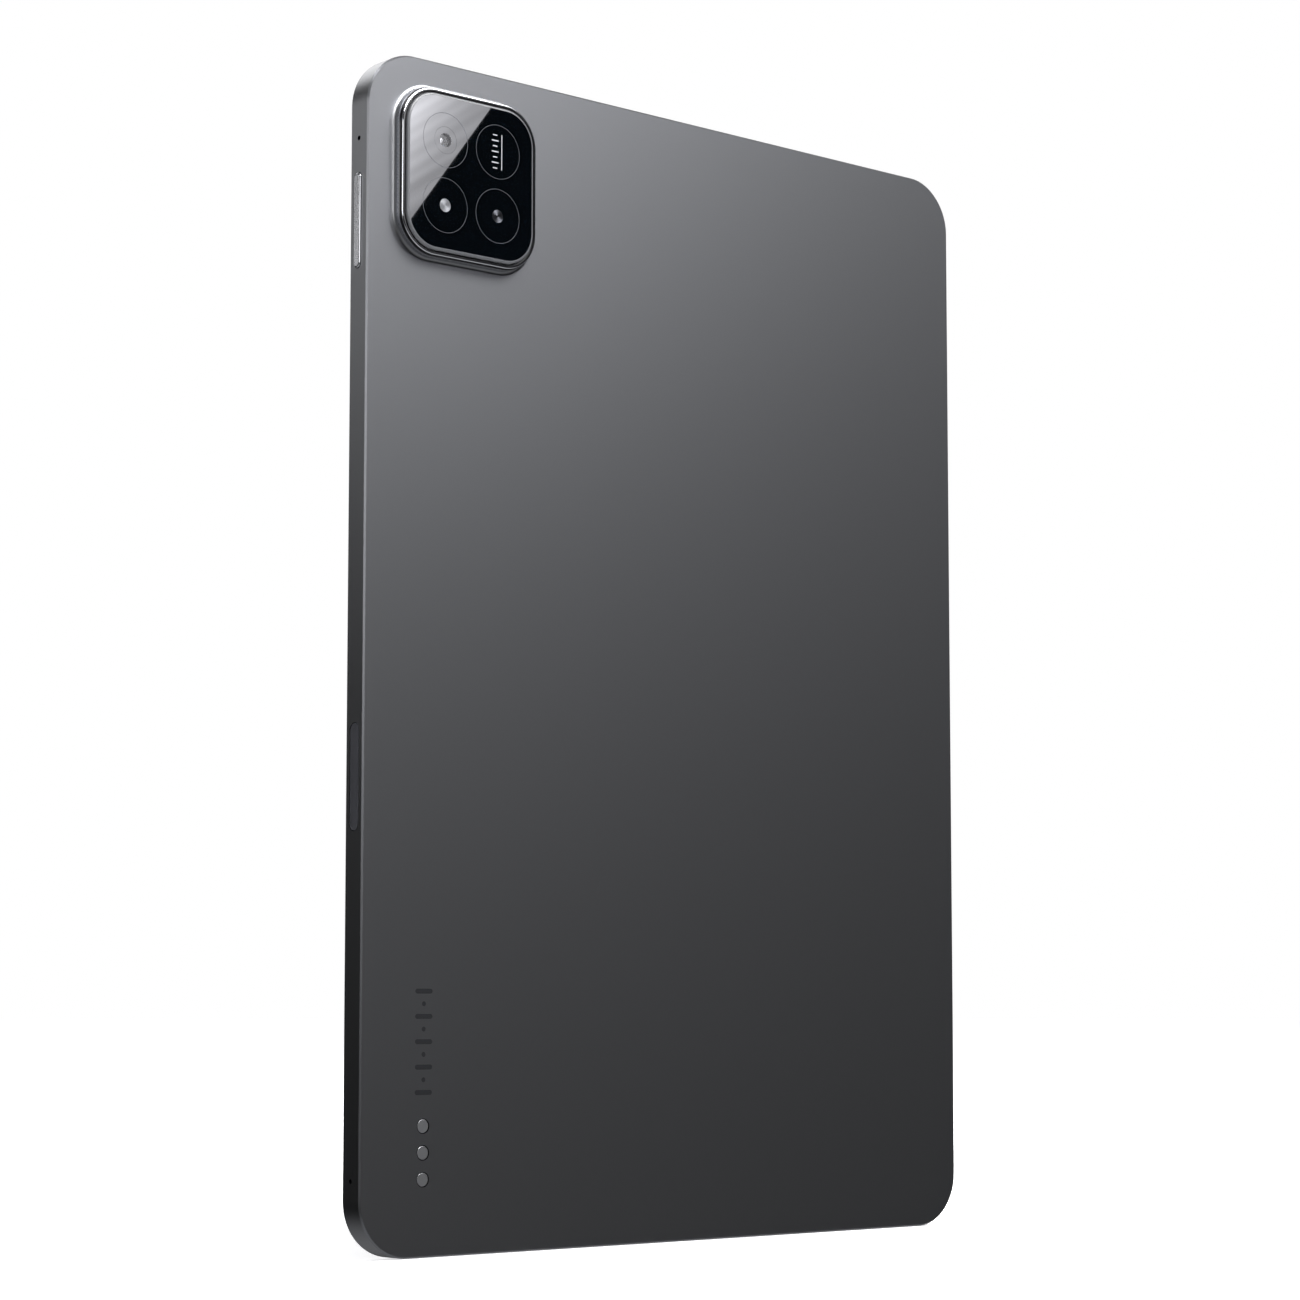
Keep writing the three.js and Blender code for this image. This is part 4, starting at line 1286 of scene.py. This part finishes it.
@dataclass
class CameraIsland:
    """The rings, the glass and the round windows that stand on the camera pedestal.

    Attributes:
        glass_radius: The radius of the glass's corners.
        groove: The gap between the glass and the bright rim.
        rim: The width of that rim.
        rim_top: Its top, above the back.
        rim_height: Its height.
        rim_round: The rounding of its outer edge, which is all that is polished.
        frame_offset: How far the frame reaches past the glass.
        frame_top: The frame's top, above the back.
        frame_cut: The width of the cut along its rim.
        glass_round: The rounding of the glass's rim.
        window_gap: The gap round a window in the frame.
        ink_depth: How deep the printed ink, and the painted glint of the ring grooves, lie in the glass.
        lens_pitch: The distance between the round places.
        bar_lengths: The lengths of the bars printed on the fourth round place.
        bars_at: How far they stand to the right of that place's middle.
        line_size: The sizes of the line printed beside them.
        line_at: How far it stands to the right.
        seam: The gap round a window in the glass.
        aperture: The radius of the main lens cover's clear middle.
        cover_drop: How far that cover lies below the glass.
        ridges: The rings moulded or turned in the two small windows.
    """

    layout: Layout
    glass_radius: float = 7.6
    groove: float = 0.45
    rim: float = 0.5
    rim_top: float = 2.5
    rim_height: float = 0.3
    rim_round: float = 0.2
    frame_offset: float = 1.25
    frame_top: float = 1.85
    frame_cut: float = 0.12
    glass_round: float = 0.62
    window_gap: float = 0.5
    circle_radius: float = 5.9
    circle_width: float = 0.1
    ink_depth: float = 0.015
    lens_pitch: float = 14.0
    bar_lengths: tuple[float, ...] = (1.2, 1.9, 1.2, 1.9, 1.2, 1.9, 1.2)
    bar_pitch: float = 1.2
    bar_width: float = 0.26
    bars_at: float = -0.75
    line_size: Point = (0.2, 7.8)
    line_at: float = 1.05
    seam: float = 0.02
    aperture: float = 1.5
    cover_drop: float = 0.01
    ridges: int = 7
    ridge_depth: float = 0.03

    def outline(self, offset: float) -> tuple[float, float, float]:
        """Returns the width, height and corner radius of the island's outline grown by an offset."""
        size = self.layout.island.size
        return (size.x + 2 * offset, size.z + 2 * offset, self.glass_radius + offset)

    def ring_between(self, outer: float, inner: float, low: float, high: float) -> Blank:
        """Makes a ring between two offsets from the glass and two heights above the back."""
        return Blank().ring(*self.outline(outer), outer - inner, low, high)

    def place(self, name: str) -> Matrix:
        """Returns the work plane on the back at the centre of a round frame node."""
        centre = Span.of(name).centre
        return Facing.BACK.plane((centre.x, self.layout.back, centre.z))

    def window_holes(self, gap: float, low: float, high: float, segments: int) -> list[Blank]:
        """Makes the cutters for the three round windows.

        Args:
            gap: The gap round each window.
            low: Where the cutters start, above the back.
            high: Where they end.
            segments: The facets of each quarter.

        Returns:
            The cutters.
        """
        return [
            round_plate(self.place(name), Span.of(name).size.x / 2 + gap, low, high, segments=segments)
            for name in ("main_lens_cover", "flash_lens", "sensor_lens")
        ]

    def build_frame(self) -> None:
        """Makes the frame, dark on its faces and satin on its sides."""
        low, _ = self.layout.above_back(Span.of("island_frame"))
        body = Blank()
        face = body.slab(*self.outline(self.frame_offset), low, self.frame_top, segments=24)
        body.soften(face.edges, self.frame_cut, segments=1)
        body.bm.normal_update()
        for facet in body.bm.faces:
            facet.material_index = int(facet.normal.z > 0.5)
        body.put(self.layout.on_island())
        body.combine(self.window_holes(self.window_gap, low - PAST, self.frame_top + PAST, 12))
        finish_piece("island_frame_ring", body, (SATIN, BLACK_GLOSS), "island_metal", ["island_frame"])

    def build_rings(self) -> None:
        """Makes the band, the bright rim and the seal in the groove, with a hair's breadth between them."""
        plane = self.layout.on_island()
        edge, middle = self.groove + self.rim, self.groove + self.rim / 2
        rim_low = self.rim_top - self.rim_height
        band = self.ring_between(edge - 0.03, middle, self.frame_top + 0.03, rim_low - 0.03)
        finish_piece("island_black_band", band.put(plane), (BLACK_GLOSS,), "black_trim", ["island_band"])
        rim = self.ring_between(edge, self.groove, rim_low, self.rim_top).paint(1)
        tops = [
            e for e in rim.bm.edges
            if all(abs(v.co.z - self.rim_top) < MERGE for v in e.verts)
            and any(abs(f.normal.z) < 0.5 and f.normal.dot(f.calc_center_median()) > 0 for f in e.link_faces)
        ]
        for cut in rim.soften(tops, self.rim_round, segments=3):
            cut.material_index = 0
        rim.put(plane)
        finish_piece("island_bright_rim", rim, (POLISHED_STEEL, BLACK_GLOSS), "polished_rim", ["island_rim"])
        seal = self.ring_between(middle - 0.1, 0.05, self.frame_top + 0.05, rim_low - 0.1)
        finish_piece("island_seal", seal.put(plane), (SILICONE,), "sealing", ["island_gasket"])

    def build_glass(self) -> None:
        """Makes the pane with its round edge, its windows, the label printed on it, and its ring grooves,
        whose grey is a painted glint.
        """
        low, high = self.layout.above_back(self.layout.island)
        pane = Blank()
        face = pane.slab(*self.outline(0), low, high, segments=24)
        # The round edge takes the ground-edge finish, whose pale grey is partly a painted reflection.
        for facet in pane.soften(face.edges, self.glass_round, segments=8):
            facet.material_index = 3
        pane.put(self.layout.on_island())
        pane.combine(self.window_holes(self.seam, low - PAST, high + PAST, 16))
        half, floor, diameter = self.lens_pitch / 2, high - self.ink_depth, 2 * self.circle_radius
        printed = self.label(floor, high + PAST)
        # Each ring is a shallow groove whose grey floor and walls are a painted glint of its edge.
        for along in (-half, half):
            for up in (-half, half):
                circle = Blank().ring(
                    diameter, diameter, self.circle_radius, self.circle_width, floor, high + PAST
                )
                printed.append(circle.put(self.layout.on_island(along, up)).paint(1))
        finishes = (INKED_GLASS, RING_GLINT_GREY, WHITE_INK, GROUND_EDGE_SHEEN)
        finish_piece("island_pane", pane.combine(printed), finishes, "island_glass", ["island_glass"])

    def label(self, low: float, high: float) -> list[Blank]:
        """Makes a plain glyph of a row of bars beside a line, on the fourth round place.

        Args:
            low: The height of the ink.
            high: Where the cutters end.

        Returns:
            One cutter for each bar.
        """
        plane = self.layout.on_island(-self.lens_pitch / 2, self.lens_pitch / 2)
        middle = (len(self.bar_lengths) - 1) / 2
        bars = [plate(plane, self.line_size, low, high, None, (self.line_at, 0), 4, slot=2)]
        for i, length in enumerate(self.bar_lengths):
            at = (self.bars_at, (i - middle) * self.bar_pitch)
            bars.append(plate(plane, (length, self.bar_width), low, high, None, at, 4, slot=2))
        return bars

    def build_main_lens(self) -> None:
        """Makes the clear cover, the barrel with its baffles, and the coated front element."""
        nodes = ("main_lens_cover", "lens_barrel", "lens_element")
        cover, barrel, element = (Span.of(node) for node in nodes)
        low, high = self.layout.above_back(cover)
        radius, level, clear = cover.size.x / 2, high - self.cover_drop, self.aperture
        window = Blank().turn(
            [(0, low), (clear, low), (radius, low), (radius, level - 0.02), (radius - 0.02, level),
             (clear, level), (0, level)]
        )
        for facet in window.bm.faces:
            facet.material_index = int(facet.calc_center_median().xy.length > clear)
        window.put(self.place("main_lens_cover"))
        finishes = (CLEAR_GLASS, INKED_GLASS)
        finish_piece("main_lens_window", window, finishes, "lens_glass", ["main_lens_cover"])

        floor, top = self.layout.above_back(barrel)
        foot, crown = self.layout.above_back(element)
        outer, edge = barrel.size.x / 2, element.size.x / 2
        opening, seat = edge + 0.1, foot - 0.05
        steps = [(outer - 0.25 * i, top - 0.06 * (i % 2)) for i in range(1, 4)]
        tube = Blank().turn(
            [(0, floor), (outer, floor), (outer, top - 0.1), *steps, (opening, top - 0.05),
             (opening, seat), (0, seat)]
        )
        tube.put(self.place("lens_barrel"))
        finish_piece("lens_tube", tube, (BAFFLE,), "black_trim", ["lens_barrel"], "lens_carrier")

        dome = quarter(edge, crown - foot - 0.05, 10, foot + 0.05)
        lens = Blank().turn([(0, foot), (edge, foot), *dome, (0, crown)]).put(self.place("lens_element"))
        finish_piece("front_element", lens, (COATED_LENS,), "lens_glass", ["lens_element"], "lens_carrier")

    def build_small_windows(self) -> None:
        """Makes the ridged window of the lamp and the turned one of the light sensor."""
        for name, node, finish, slot in (
            ("lamp_window", "flash_lens", FLASH_PLASTIC, "lamp_lens"),
            ("sensor_window", "sensor_lens", TURNED_METAL, "sensor_metal"),
        ):
            span = Span.of(node)
            low, high = self.layout.above_back(span)
            radius, top = span.size.x / 2, high - 0.02
            step = (radius - 0.08) / (2 * self.ridges)
            crests = [
                (radius - 0.04 - i * step, top - self.ridge_depth * (i % 2)) for i in range(2 * self.ridges)
            ]
            disc = Blank().turn([(0, low), (radius, low), (radius, top), *crests, (0, top)])
            finish_piece(name, disc.put(self.place(node)), (finish,), slot, [node])

    def build(self) -> None:
        """Makes the whole sub-assembly."""
        self.build_frame()
        self.build_rings()
        self.build_glass()
        self.build_main_lens()
        self.build_small_windows()


# ---- Keyboard contacts ----


@dataclass
class KeyboardContacts:
    """Three plated discs in black collars, sunk a little into the back.

    Attributes:
        flange: How far a disc's foot reaches past its face.
        flange_height: The height of that foot.
        round_over: The rounding of a disc's rim.
        collar_wall: The thickness of a collar.
        collar_depth: How far a collar lies below the back.
        plate_height: The thickness of the plate that joins the collars.
        plate_round: The radius of its corners.
    """

    layout: Layout
    flange: float = 0.15
    flange_height: float = 0.3
    round_over: float = 0.06
    collar_wall: float = 0.1
    collar_depth: float = 0.05
    plate_height: float = 0.6
    plate_round: float = 1.0

    def build(self) -> None:
        """Makes the discs and their holder."""
        holder, back = Span.of("contact_holder"), self.layout.back
        spans = [Span.of(f"contact_{i}") for i in range(1, 4)]
        outer, cut = spans[0].size.x / 2, self.round_over
        radius = outer - self.flange
        for i, span in enumerate(spans, start=1):
            low, high = span.low.y, span.high.y
            foot = low + self.flange_height
            pin = Blank().turn(
                [(0, low), (outer, low), (outer, foot), (radius, foot), (radius, high - cut),
                 (radius - 0.3 * cut, high - 0.3 * cut), (radius - cut, high), (0, high)]
            )
            pin.put(span.plane())
            finish_piece(f"contact_disc_{i}", pin, (CONTACT_PLATE,), "contact_metal", [f"contact_{i}"])
        low, size = holder.low.y, (holder.size.x, holder.size.z)
        foot, rim = low + self.plate_height / 2, back - self.collar_depth
        collars = [round_plate(span.plane(), outer, foot, rim) for span in spans]
        bores = [
            round_plate(span.plane(), outer - self.collar_wall, low - PAST, back + PAST) for span in spans
        ]
        block = plate(holder.plane(), size, low, low + self.plate_height, self.plate_round)
        block.combine(collars, "UNION").combine(bores)
        finish_piece("contact_collars", block, (BLACK_GLOSS,), "black_trim", ["contact_holder"])


# ---- Display ----


@dataclass
class Display:
    """The screen side: a clear pane over black ink with a window for the panel and one for the camera.

    Attributes:
        glass_inset: How much smaller the glass's corner radius is than the tablet's.
        edge_round: The rounding of the glass's edges.
        ink: The thickness of the ink.
        ink_gap: The gap between the glass and the ink.
        ink_inset: How much smaller the ink is than the glass, on each side.
        panel_border: How far the ink covers the panel's edge.
        screen_radius: The radius of the screen's corners.
        camera_window: The radius of the front camera's window.
        lens_radius: The radius of its lens.
        lens_rise: The height of that lens.
        seal_wall: The width of the seal.
    """

    layout: Layout
    glass_inset: float = 1.15
    edge_round: float = 0.22
    ink: float = 0.03
    ink_gap: float = 0.01
    ink_inset: float = 0.2
    panel_border: float = 1.2
    screen_radius: float = 2.5
    camera_window: float = 1.15
    lens_radius: float = 0.95
    lens_rise: float = 0.045
    seal_wall: float = 0.25

    def build(self) -> None:
        """Makes the pane, the ink mask, the seal and the lens of the front camera."""
        layout, glass = self.layout, self.layout.glass
        centred, radius = layout.centred(), self.layout.corner_radius - self.glass_inset
        panel, camera, gasket = (Span.of(name) for name in ("lcd_panel", "front_camera", "display_gasket"))
        pane = Blank()
        outer = pane.slab(glass.size.x, glass.size.z, radius, glass.low.y, glass.high.y, segments=24)
        pane.soften([*outer.edges, *pane.base.edges], self.edge_round, segments=4)
        finish_piece("screen_pane", pane.put(centred), (CLEAR_GLASS,), "cover_glass", ["cover_glass"])

        low = glass.high.y + self.ink_gap
        high, inset, border = low + self.ink, 2 * self.ink_inset, 2 * self.panel_border
        size = (glass.size.x - inset, glass.size.z - inset)
        mask = plate(centred, size, low, high, radius - self.ink_inset, segments=24)
        size = (panel.size.x - border, panel.size.z - border)
        opening = plate(centred, size, low - PAST, high + PAST, self.screen_radius, segments=8)
        peephole = round_plate(camera.plane(), self.camera_window, low - PAST, high + PAST)
        finish_piece("screen_ink_mask", mask.combine([opening, peephole]), (BLACK_INK,), "black_trim")

        face = (camera.centre.x, camera.low.y - 0.005, camera.centre.z)
        dome = quarter(self.lens_radius, self.lens_rise, 6)
        lens = Blank().turn([(0, 0), *dome, (0, self.lens_rise)], segments=32)
        finish_piece("front_camera_lens", lens.put(Facing.FRONT.plane(face)), (COATED_LENS,), "lens_glass")

        size, wall = gasket.size, self.seal_wall
        corner = layout.corner_radius - (layout.cover.size.x - size.x) / 2
        seal = Blank().ring(size.x, size.z, corner, wall, gasket.low.y, gasket.high.y)
        finish_piece("screen_seal", seal.put(centred), (SILICONE,), "sealing", ["display_gasket"])


# ---- What lies inside ----


@dataclass
class InnerParts:
    """The pieces inside the housing, which keep their frame shapes and get their finishes here.

    Attributes:
        finishes: The finish of each frame node.
    """

    finishes: dict[str, Finish] = field(
        default_factory=lambda: {
            "display_adhesive": SILICONE,
            "lcd_panel": DARK_PANEL,
            "backlight_unit": DIFFUSER,
            "flash_led": PHOSPHOR,
            "graphite_sheet": GRAPHITE,
            **{f"battery_cell_{side}": POUCH for side in ("left", "right")},
            **{f"{kind}_board": CIRCUIT_BOARD for kind in ("main", "battery", "camera", "usb")},
            **{f"{kind}_shield": TINNED_STEEL for kind in ("power", "processor")},
            **{f"{kind}_flex": POLYIMIDE for kind in ("main", "display")},
            "front_camera": NYLON,
            **{f"{key}_switch": POLYIMIDE for key in ("volume_rocker", "power_key")},
            **{f"{key}_bracket": TINNED_STEEL for key in ("volume_rocker", "power_key")},
            **{f"speaker_{end}_{side}": NYLON for end in ("top", "bottom") for side in ("left", "right")},
            "camera_housing": NYLON,
            "rear_sensor": TINNED_STEEL,
            "pen_coil": POLYIMIDE,
            **{f"pen_magnet_{end}": NICKEL for end in ("lower", "upper")},
            **{f"microphone_{end}": TINNED_STEEL for end in ("lower", "upper")},
            **{f"aerial_{end}": NYLON for end in ("lower", "upper")},
            **{f"board_screw_{i}": TINNED_STEEL for i in range(1, 5)},
        }
    )

    def build(self) -> None:
        """Gives each of these frame nodes its finish."""
        for name, finish in self.finishes.items():
            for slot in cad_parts[name].material_slots:
                slot.link = "OBJECT"
                slot.material = finish.material()
            log.info("%s: finished as %s", name, finish.name)




# ---- Studio ----

BAND_SLANT = 0.7  # how far the bands on a light lean over its face
BAND_COUNT = 16.0  # and how many there are


@dataclass
class StudioCamera:
    """A long lens, a little above the table, that looks at the back from the volume key's side.

    Attributes:
        place: Where it stands, in mm.
        yaw: How far it is turned about the upright, in degrees.
        pitch: How far it looks up, in degrees.
        lens: Its focal length, in mm.
        sensor: The width of its sensor, in mm.
        rise: How far its sensor is shifted up, as a share of its width.
    """

    place: tuple[float, float, float] = (459.1, 523.8, 51.1)
    yaw: float = 40.763
    pitch: float = 5.10
    lens: float = 86.77
    sensor: float = 36.0
    rise: float = 0.06

    @property
    def position(self) -> Vector:
        """Where it stands, in mm."""
        return Vector(self.place)

    def build(self) -> bpy.types.Object:
        """Makes the camera.

        Returns:
            The camera.
        """
        yaw, pitch = math.radians(self.yaw), math.radians(self.pitch)
        look = Vector((-math.sin(yaw) * math.cos(pitch), -math.cos(yaw) * math.cos(pitch), math.sin(pitch)))
        data = bpy.data.cameras.new("camera")
        data.lens = self.lens
        data.sensor_width = self.sensor
        data.shift_y = self.rise
        data.clip_start, data.clip_end = 0.01, 50
        camera = bpy.data.objects.new("camera", data)
        camera.location = self.position * MM
        camera.rotation_euler = look.to_track_quat("-Z", "Y").to_euler()
        bpy.context.scene.collection.objects.link(camera)
        bpy.context.scene.camera = camera
        return camera


@dataclass
class Softbox:
    """A rectangular light that may fade towards its lower long edge.

    Attributes:
        name: Its name.
        turn: Its right, up and back directions in the frame.
        place: Its centre, in metres.
        width: Its size along its right, in metres.
        height: Its size along its up, in metres.
        radiance: How bright its face is.
        colour: The colour of its light.
        feather: The share of its height over which it fades at the lower edge.
        dim: How bright that edge is, as a share of the middle.
        banding: How strongly soft slanting bands vary its face.
    """

    name: str
    turn: tuple[Vector, Vector, Vector]
    place: Vector
    width: float
    height: float
    radiance: float
    colour: str = "#ffffff"
    feather: float = 0.0
    dim: float = 1.0
    banding: float = 0.0

    @classmethod
    def aimed(
        cls,
        name: str,
        azimuth: float,
        elevation: float,
        distance: float,
        target: Vector,
        sideways: bool = False,
        **rest: Any,
    ) -> "Softbox":
        """Places a softbox by its direction from a target.

        Args:
            name: Its name.
            azimuth: Its direction round the object, in degrees from +Y towards -X.
            elevation: Its direction above the horizon, in degrees.
            distance: How far it stands, in metres.
            target: What it faces, in metres.
            sideways: Whether it lies on its side, with the edge that fades towards -X.
            **rest: The other fields.

        Returns:
            The softbox.
        """
        a, e = math.radians(azimuth), math.radians(elevation)
        away = Vector((-math.sin(a) * math.cos(e), math.cos(a) * math.cos(e), math.sin(e)))
        right = Vector((0, 0, 1)).cross(away).normalized()
        up = away.cross(right)
        if sideways:
            right, up = up, -right
        return cls(name, (right, up, away), target + away * distance, **rest)

    def brightness(self, tree: bpy.types.NodeTree) -> bpy.types.NodeSocket:
        """Adds the nodes that fade the face towards its lower edge and lay bands across it.

        Args:
            tree: The light's node tree.

        Returns:
            The socket that gives the brightness.
        """
        face = add_node(tree, "ShaderNodeNewGeometry").outputs["Parametric"]
        x, y, _ = add_node(tree, "ShaderNodeSeparateXYZ", {"Vector": face}).outputs
        fade = {"Value": y, "From Min": 0.0, "From Max": self.feather, "To Min": self.dim, "To Max": 1.0}
        faded = add_node(tree, "ShaderNodeMapRange", fade, interpolation_type="SMOOTHSTEP").outputs["Result"]
        if not self.banding:
            return faded
        slant = add_node(tree, "ShaderNodeMath", {0: x, 1: BAND_SLANT, 2: y}, operation="MULTIPLY_ADD")
        noise = {"W": slant.outputs["Value"], "Scale": BAND_COUNT, "Detail": 0.0}
        bands = add_node(tree, "ShaderNodeTexNoise", noise, noise_dimensions="1D").outputs["Fac"]
        swing = {"Value": bands, "From Min": 0.3, "From Max": 0.7}
        swing |= {"To Min": 1 - self.banding, "To Max": 1 + self.banding}
        level = add_node(tree, "ShaderNodeMapRange", swing).outputs["Result"]
        return add_node(tree, "ShaderNodeMath", {0: faded, 1: level}, operation="MULTIPLY").outputs["Value"]

    def build(self) -> bpy.types.Object:
        """Makes the light.

        Returns:
            The light.
        """
        data = bpy.data.lights.new(self.name, "AREA")
        data.shape = "RECTANGLE"
        data.size, data.size_y = self.width, self.height
        data.color = linear(self.colour)[:3]
        data.energy = self.radiance * math.pi * self.width * self.height
        data.use_nodes = True
        tree = data.node_tree
        tree.nodes.clear()
        strength = self.brightness(tree) if self.feather else 1.0
        glow = add_node(tree, "ShaderNodeEmission", {"Strength": strength})
        add_node(tree, "ShaderNodeOutputLight", {"Surface": glow.outputs["Emission"]})
        light = bpy.data.objects.new(self.name, data)
        light.matrix_world = Matrix.Translation(self.place) @ Matrix(self.turn).transposed().to_4x4()
        light.visible_camera = False
        bpy.context.scene.collection.objects.link(light)
        log.info("light %s at %s", self.name, tuple(round(v, 2) for v in self.place))
        return light


@dataclass
class Studio:
    """A white room: a pale floor, soft panels, and a dim surround that only the shine sees.

    Attributes:
        glare_low: A point on the island glass, along X and up from its centre in mm, where the
            lower edge of the bright card is mirrored.
        glare_high: A second such point.
        card_distance: How far the card stands from the glass, in metres.
        floor_glow: How much light the floor gives near the tablet.
        floor_edge_glow: How much it gives farther out.
        floor_glow_reach: Where it reaches that, in metres.
        floor_gap: How far the floor lies under the tablet, in metres.
        mirrored_room: How bright the room is where metal and glass mirror it.
        mirrored_table: The same, for what lies low.
        bounced_room: The same, where it is mirrored twice.
    """

    camera: StudioCamera
    layout: Layout
    glare_low: tuple[float, float] = (16.17, -11.7)
    glare_high: tuple[float, float] = (-5.07, 16.27)
    card_distance: float = 1.5
    card_width: float = 0.2
    card_height: float = 0.12
    card_radiance: float = 14.0
    floor_colour: str = "#f4f4f5"
    floor_glow: float = 0.72
    floor_edge_glow: float = 1.1
    floor_glow_reach: float = 2.0
    floor_radius: float = 14.0
    floor_gap: float = 0.0002
    mirrored_room: float = 0.004
    mirrored_table: float = 0.5
    bounced_room: float = 1.0

    def mirrored(self, glass: Vector, spot: tuple[float, float], distance: float) -> Vector:
        """Follows the view off the island glass.

        Args:
            glass: The centre of the glass, in mm.
            spot: A point on the glass, right along X and up from its centre, in mm.
            distance: How far to follow the reflection, in metres along the glass's mean direction.

        Returns:
            The point reached, in metres.
        """
        point = glass + Vector((spot[0], 0, spot[1]))
        ray = (point - self.camera.position).normalized()
        ray.y = -ray.y
        return point * MM + ray * distance

    def card(self) -> Softbox:
        """Places the bright card whose lower edge is mirrored across the island glass as a diagonal.

        Returns:
            The card.
        """
        glass = self.layout.island.centre.copy()
        glass.y = self.layout.island.high.y
        away = (self.mirrored(glass, (0, 0), 1.0) - glass * MM).normalized()
        low = self.mirrored(glass, self.glare_low, self.card_distance)
        high = self.mirrored(glass, self.glare_high, self.card_distance)
        right = (high - low) - away * (high - low).dot(away)
        right.normalize()
        up = away.cross(right)
        if up.z < 0:
            right, up = -right, -up
        centre = (low + high) / 2 + up * (self.card_height / 2)
        return Softbox(
            "glare_card", (right, up, away), centre, self.card_width, self.card_height,
            self.card_radiance, "#f4f4fa", feather=0.9, dim=0.17, banding=0.12,
        )

    def lights(self) -> list[Softbox]:
        """Lists all the panels.

        Returns:
            The panels.
        """
        middle = (CAD_BOX[0] + CAD_BOX[1]) / 2
        return [
            self.card(),
            Softbox.aimed(
                "back_panel", 22, 52, 1.8, middle, sideways=True,
                width=1.0, height=2.2, radiance=22.5, feather=0.5, dim=0.08,
            ),
            Softbox.aimed("overhead_panel", -10, 60, 2.2, middle, width=1.8, height=1.2, radiance=3.0),
            Softbox.aimed("side_panel", -128, 20, 1.6, middle, width=0.5, height=0.25, radiance=4.3),
            Softbox.aimed("key_strip", -141, 14, 1.6, middle, width=0.12, height=0.14, radiance=1.6),
            Softbox.aimed("camera_panel", -40, 14, 1.8, middle, width=1.2, height=0.5, radiance=3.6),
            Softbox.aimed("flank_panel", -92, 6, 1.8, middle, width=0.5, height=0.8, radiance=0.5),
            Softbox.aimed("front_panel", 165, 48, 1.8, middle, width=1.6, height=1.0, radiance=2.5),
            Softbox.aimed(
                "screen_panel", 180, 4, 1.8, middle,
                width=0.8, height=1.2, radiance=1.3, feather=1.0, dim=0.05,
            ),
        ]

    def build_floor(self) -> None:
        """Makes the pale floor, which the shine of the metal doesn't see."""
        bm = bmesh.new()
        bmesh.ops.create_circle(bm, cap_ends=True, radius=self.floor_radius, segments=96)
        mesh = bpy.data.meshes.new("floor")
        bm.to_mesh(mesh)
        bm.free()
        floor = bpy.data.objects.new("floor", mesh)
        floor.location.z = CAD_BOX[0].z - self.floor_gap
        bpy.context.scene.collection.objects.link(floor)
        paper = bpy.data.materials.new("paper_matte_white")
        paper.use_nodes = True
        tree = paper.node_tree
        tree.nodes.clear()
        place = add_node(tree, "ShaderNodeTexCoord").outputs["Object"]
        reach = add_node(tree, "ShaderNodeVectorMath", {0: place}, operation="LENGTH").outputs["Value"]
        ramp = {"Value": reach, "From Min": CAD_BOX[1].z, "From Max": self.floor_glow_reach}
        ramp |= {"To Min": self.floor_glow, "To Max": self.floor_edge_glow}
        glow = add_node(tree, "ShaderNodeMapRange", ramp, interpolation_type="SMOOTHSTEP")
        colour = linear(self.floor_colour)
        inputs = {"Base Color": colour, "Roughness": 0.9, "Specular IOR Level": 0.0, "Emission Color": colour}
        inputs["Emission Strength"] = glow.outputs["Result"]
        shader = add_node(tree, "ShaderNodeBsdfPrincipled", inputs)
        add_node(tree, "ShaderNodeOutputMaterial", {"Surface": shader.outputs["BSDF"]})
        mesh.materials.append(paper)
        floor.visible_glossy = False
        floor.visible_transmission = False

    def build_surround(self) -> None:
        """Makes the room: white where it is seen, dim where it is mirrored, and pale if mirrored twice."""
        world = bpy.data.worlds.new("room")
        bpy.context.scene.world = world
        world.use_nodes = True
        tree = world.node_tree
        tree.nodes.clear()
        direction = add_node(tree, "ShaderNodeTexCoord").outputs["Generated"]
        height = add_node(tree, "ShaderNodeSeparateXYZ", {"Vector": direction}).outputs["Z"]
        ramp = {"Value": height, "From Min": -0.6, "From Max": -0.3}
        ramp |= {"To Min": self.mirrored_table, "To Max": self.mirrored_room}
        once = add_node(tree, "ShaderNodeMapRange", ramp).outputs["Result"]
        path = add_node(tree, "ShaderNodeLightPath").outputs
        # What is seen through clear glass never counts as mirrored twice.
        depths = {0: path["Transmission Depth"], 1: -4.0, 2: path["Glossy Depth"]}
        count = add_node(tree, "ShaderNodeMath", depths, operation="MULTIPLY_ADD").outputs["Value"]
        twice = add_node(tree, "ShaderNodeMath", {0: count, 1: 1.5}, operation="GREATER_THAN")
        mirrored = {"Value": twice.outputs["Value"], "To Min": once, "To Max": self.bounced_room}
        strength = add_node(tree, "ShaderNodeMapRange", mirrored).outputs["Result"]
        dim = add_node(tree, "ShaderNodeBackground", {"Color": linear("#f2f3f5"), "Strength": strength})
        white = add_node(tree, "ShaderNodeBackground", {"Color": linear("#ffffff"), "Strength": 1.0})
        shaders = {1: dim.outputs["Background"], 2: white.outputs["Background"]}
        choice = add_node(tree, "ShaderNodeMixShader", {0: path["Is Camera Ray"]} | shaders)
        add_node(tree, "ShaderNodeOutputWorld", {"Surface": choice.outputs["Shader"]})

    def build(self) -> None:
        """Makes the whole studio."""
        self.build_surround()
        self.build_floor()
        for light in self.lights():
            light.build()
        bpy.context.scene.view_settings.view_transform = "Standard"


def main() -> None:
    """Builds the tablet round its frame, then the studio."""
    logging.basicConfig(level=logging.INFO, format="%(name)s: %(message)s")
    layout = Layout()
    camera = StudioCamera()
    camera.build()
    for part in (
        Housing(layout),
        VolumeKey(layout),
        PowerKey(layout),
        ChargingPort(),
        CameraIsland(layout),
        KeyboardContacts(layout),
        Display(layout),
        InnerParts(),
    ):
        part.build()
    Studio(camera, layout).build()


if __name__ == "__main__":
    main()
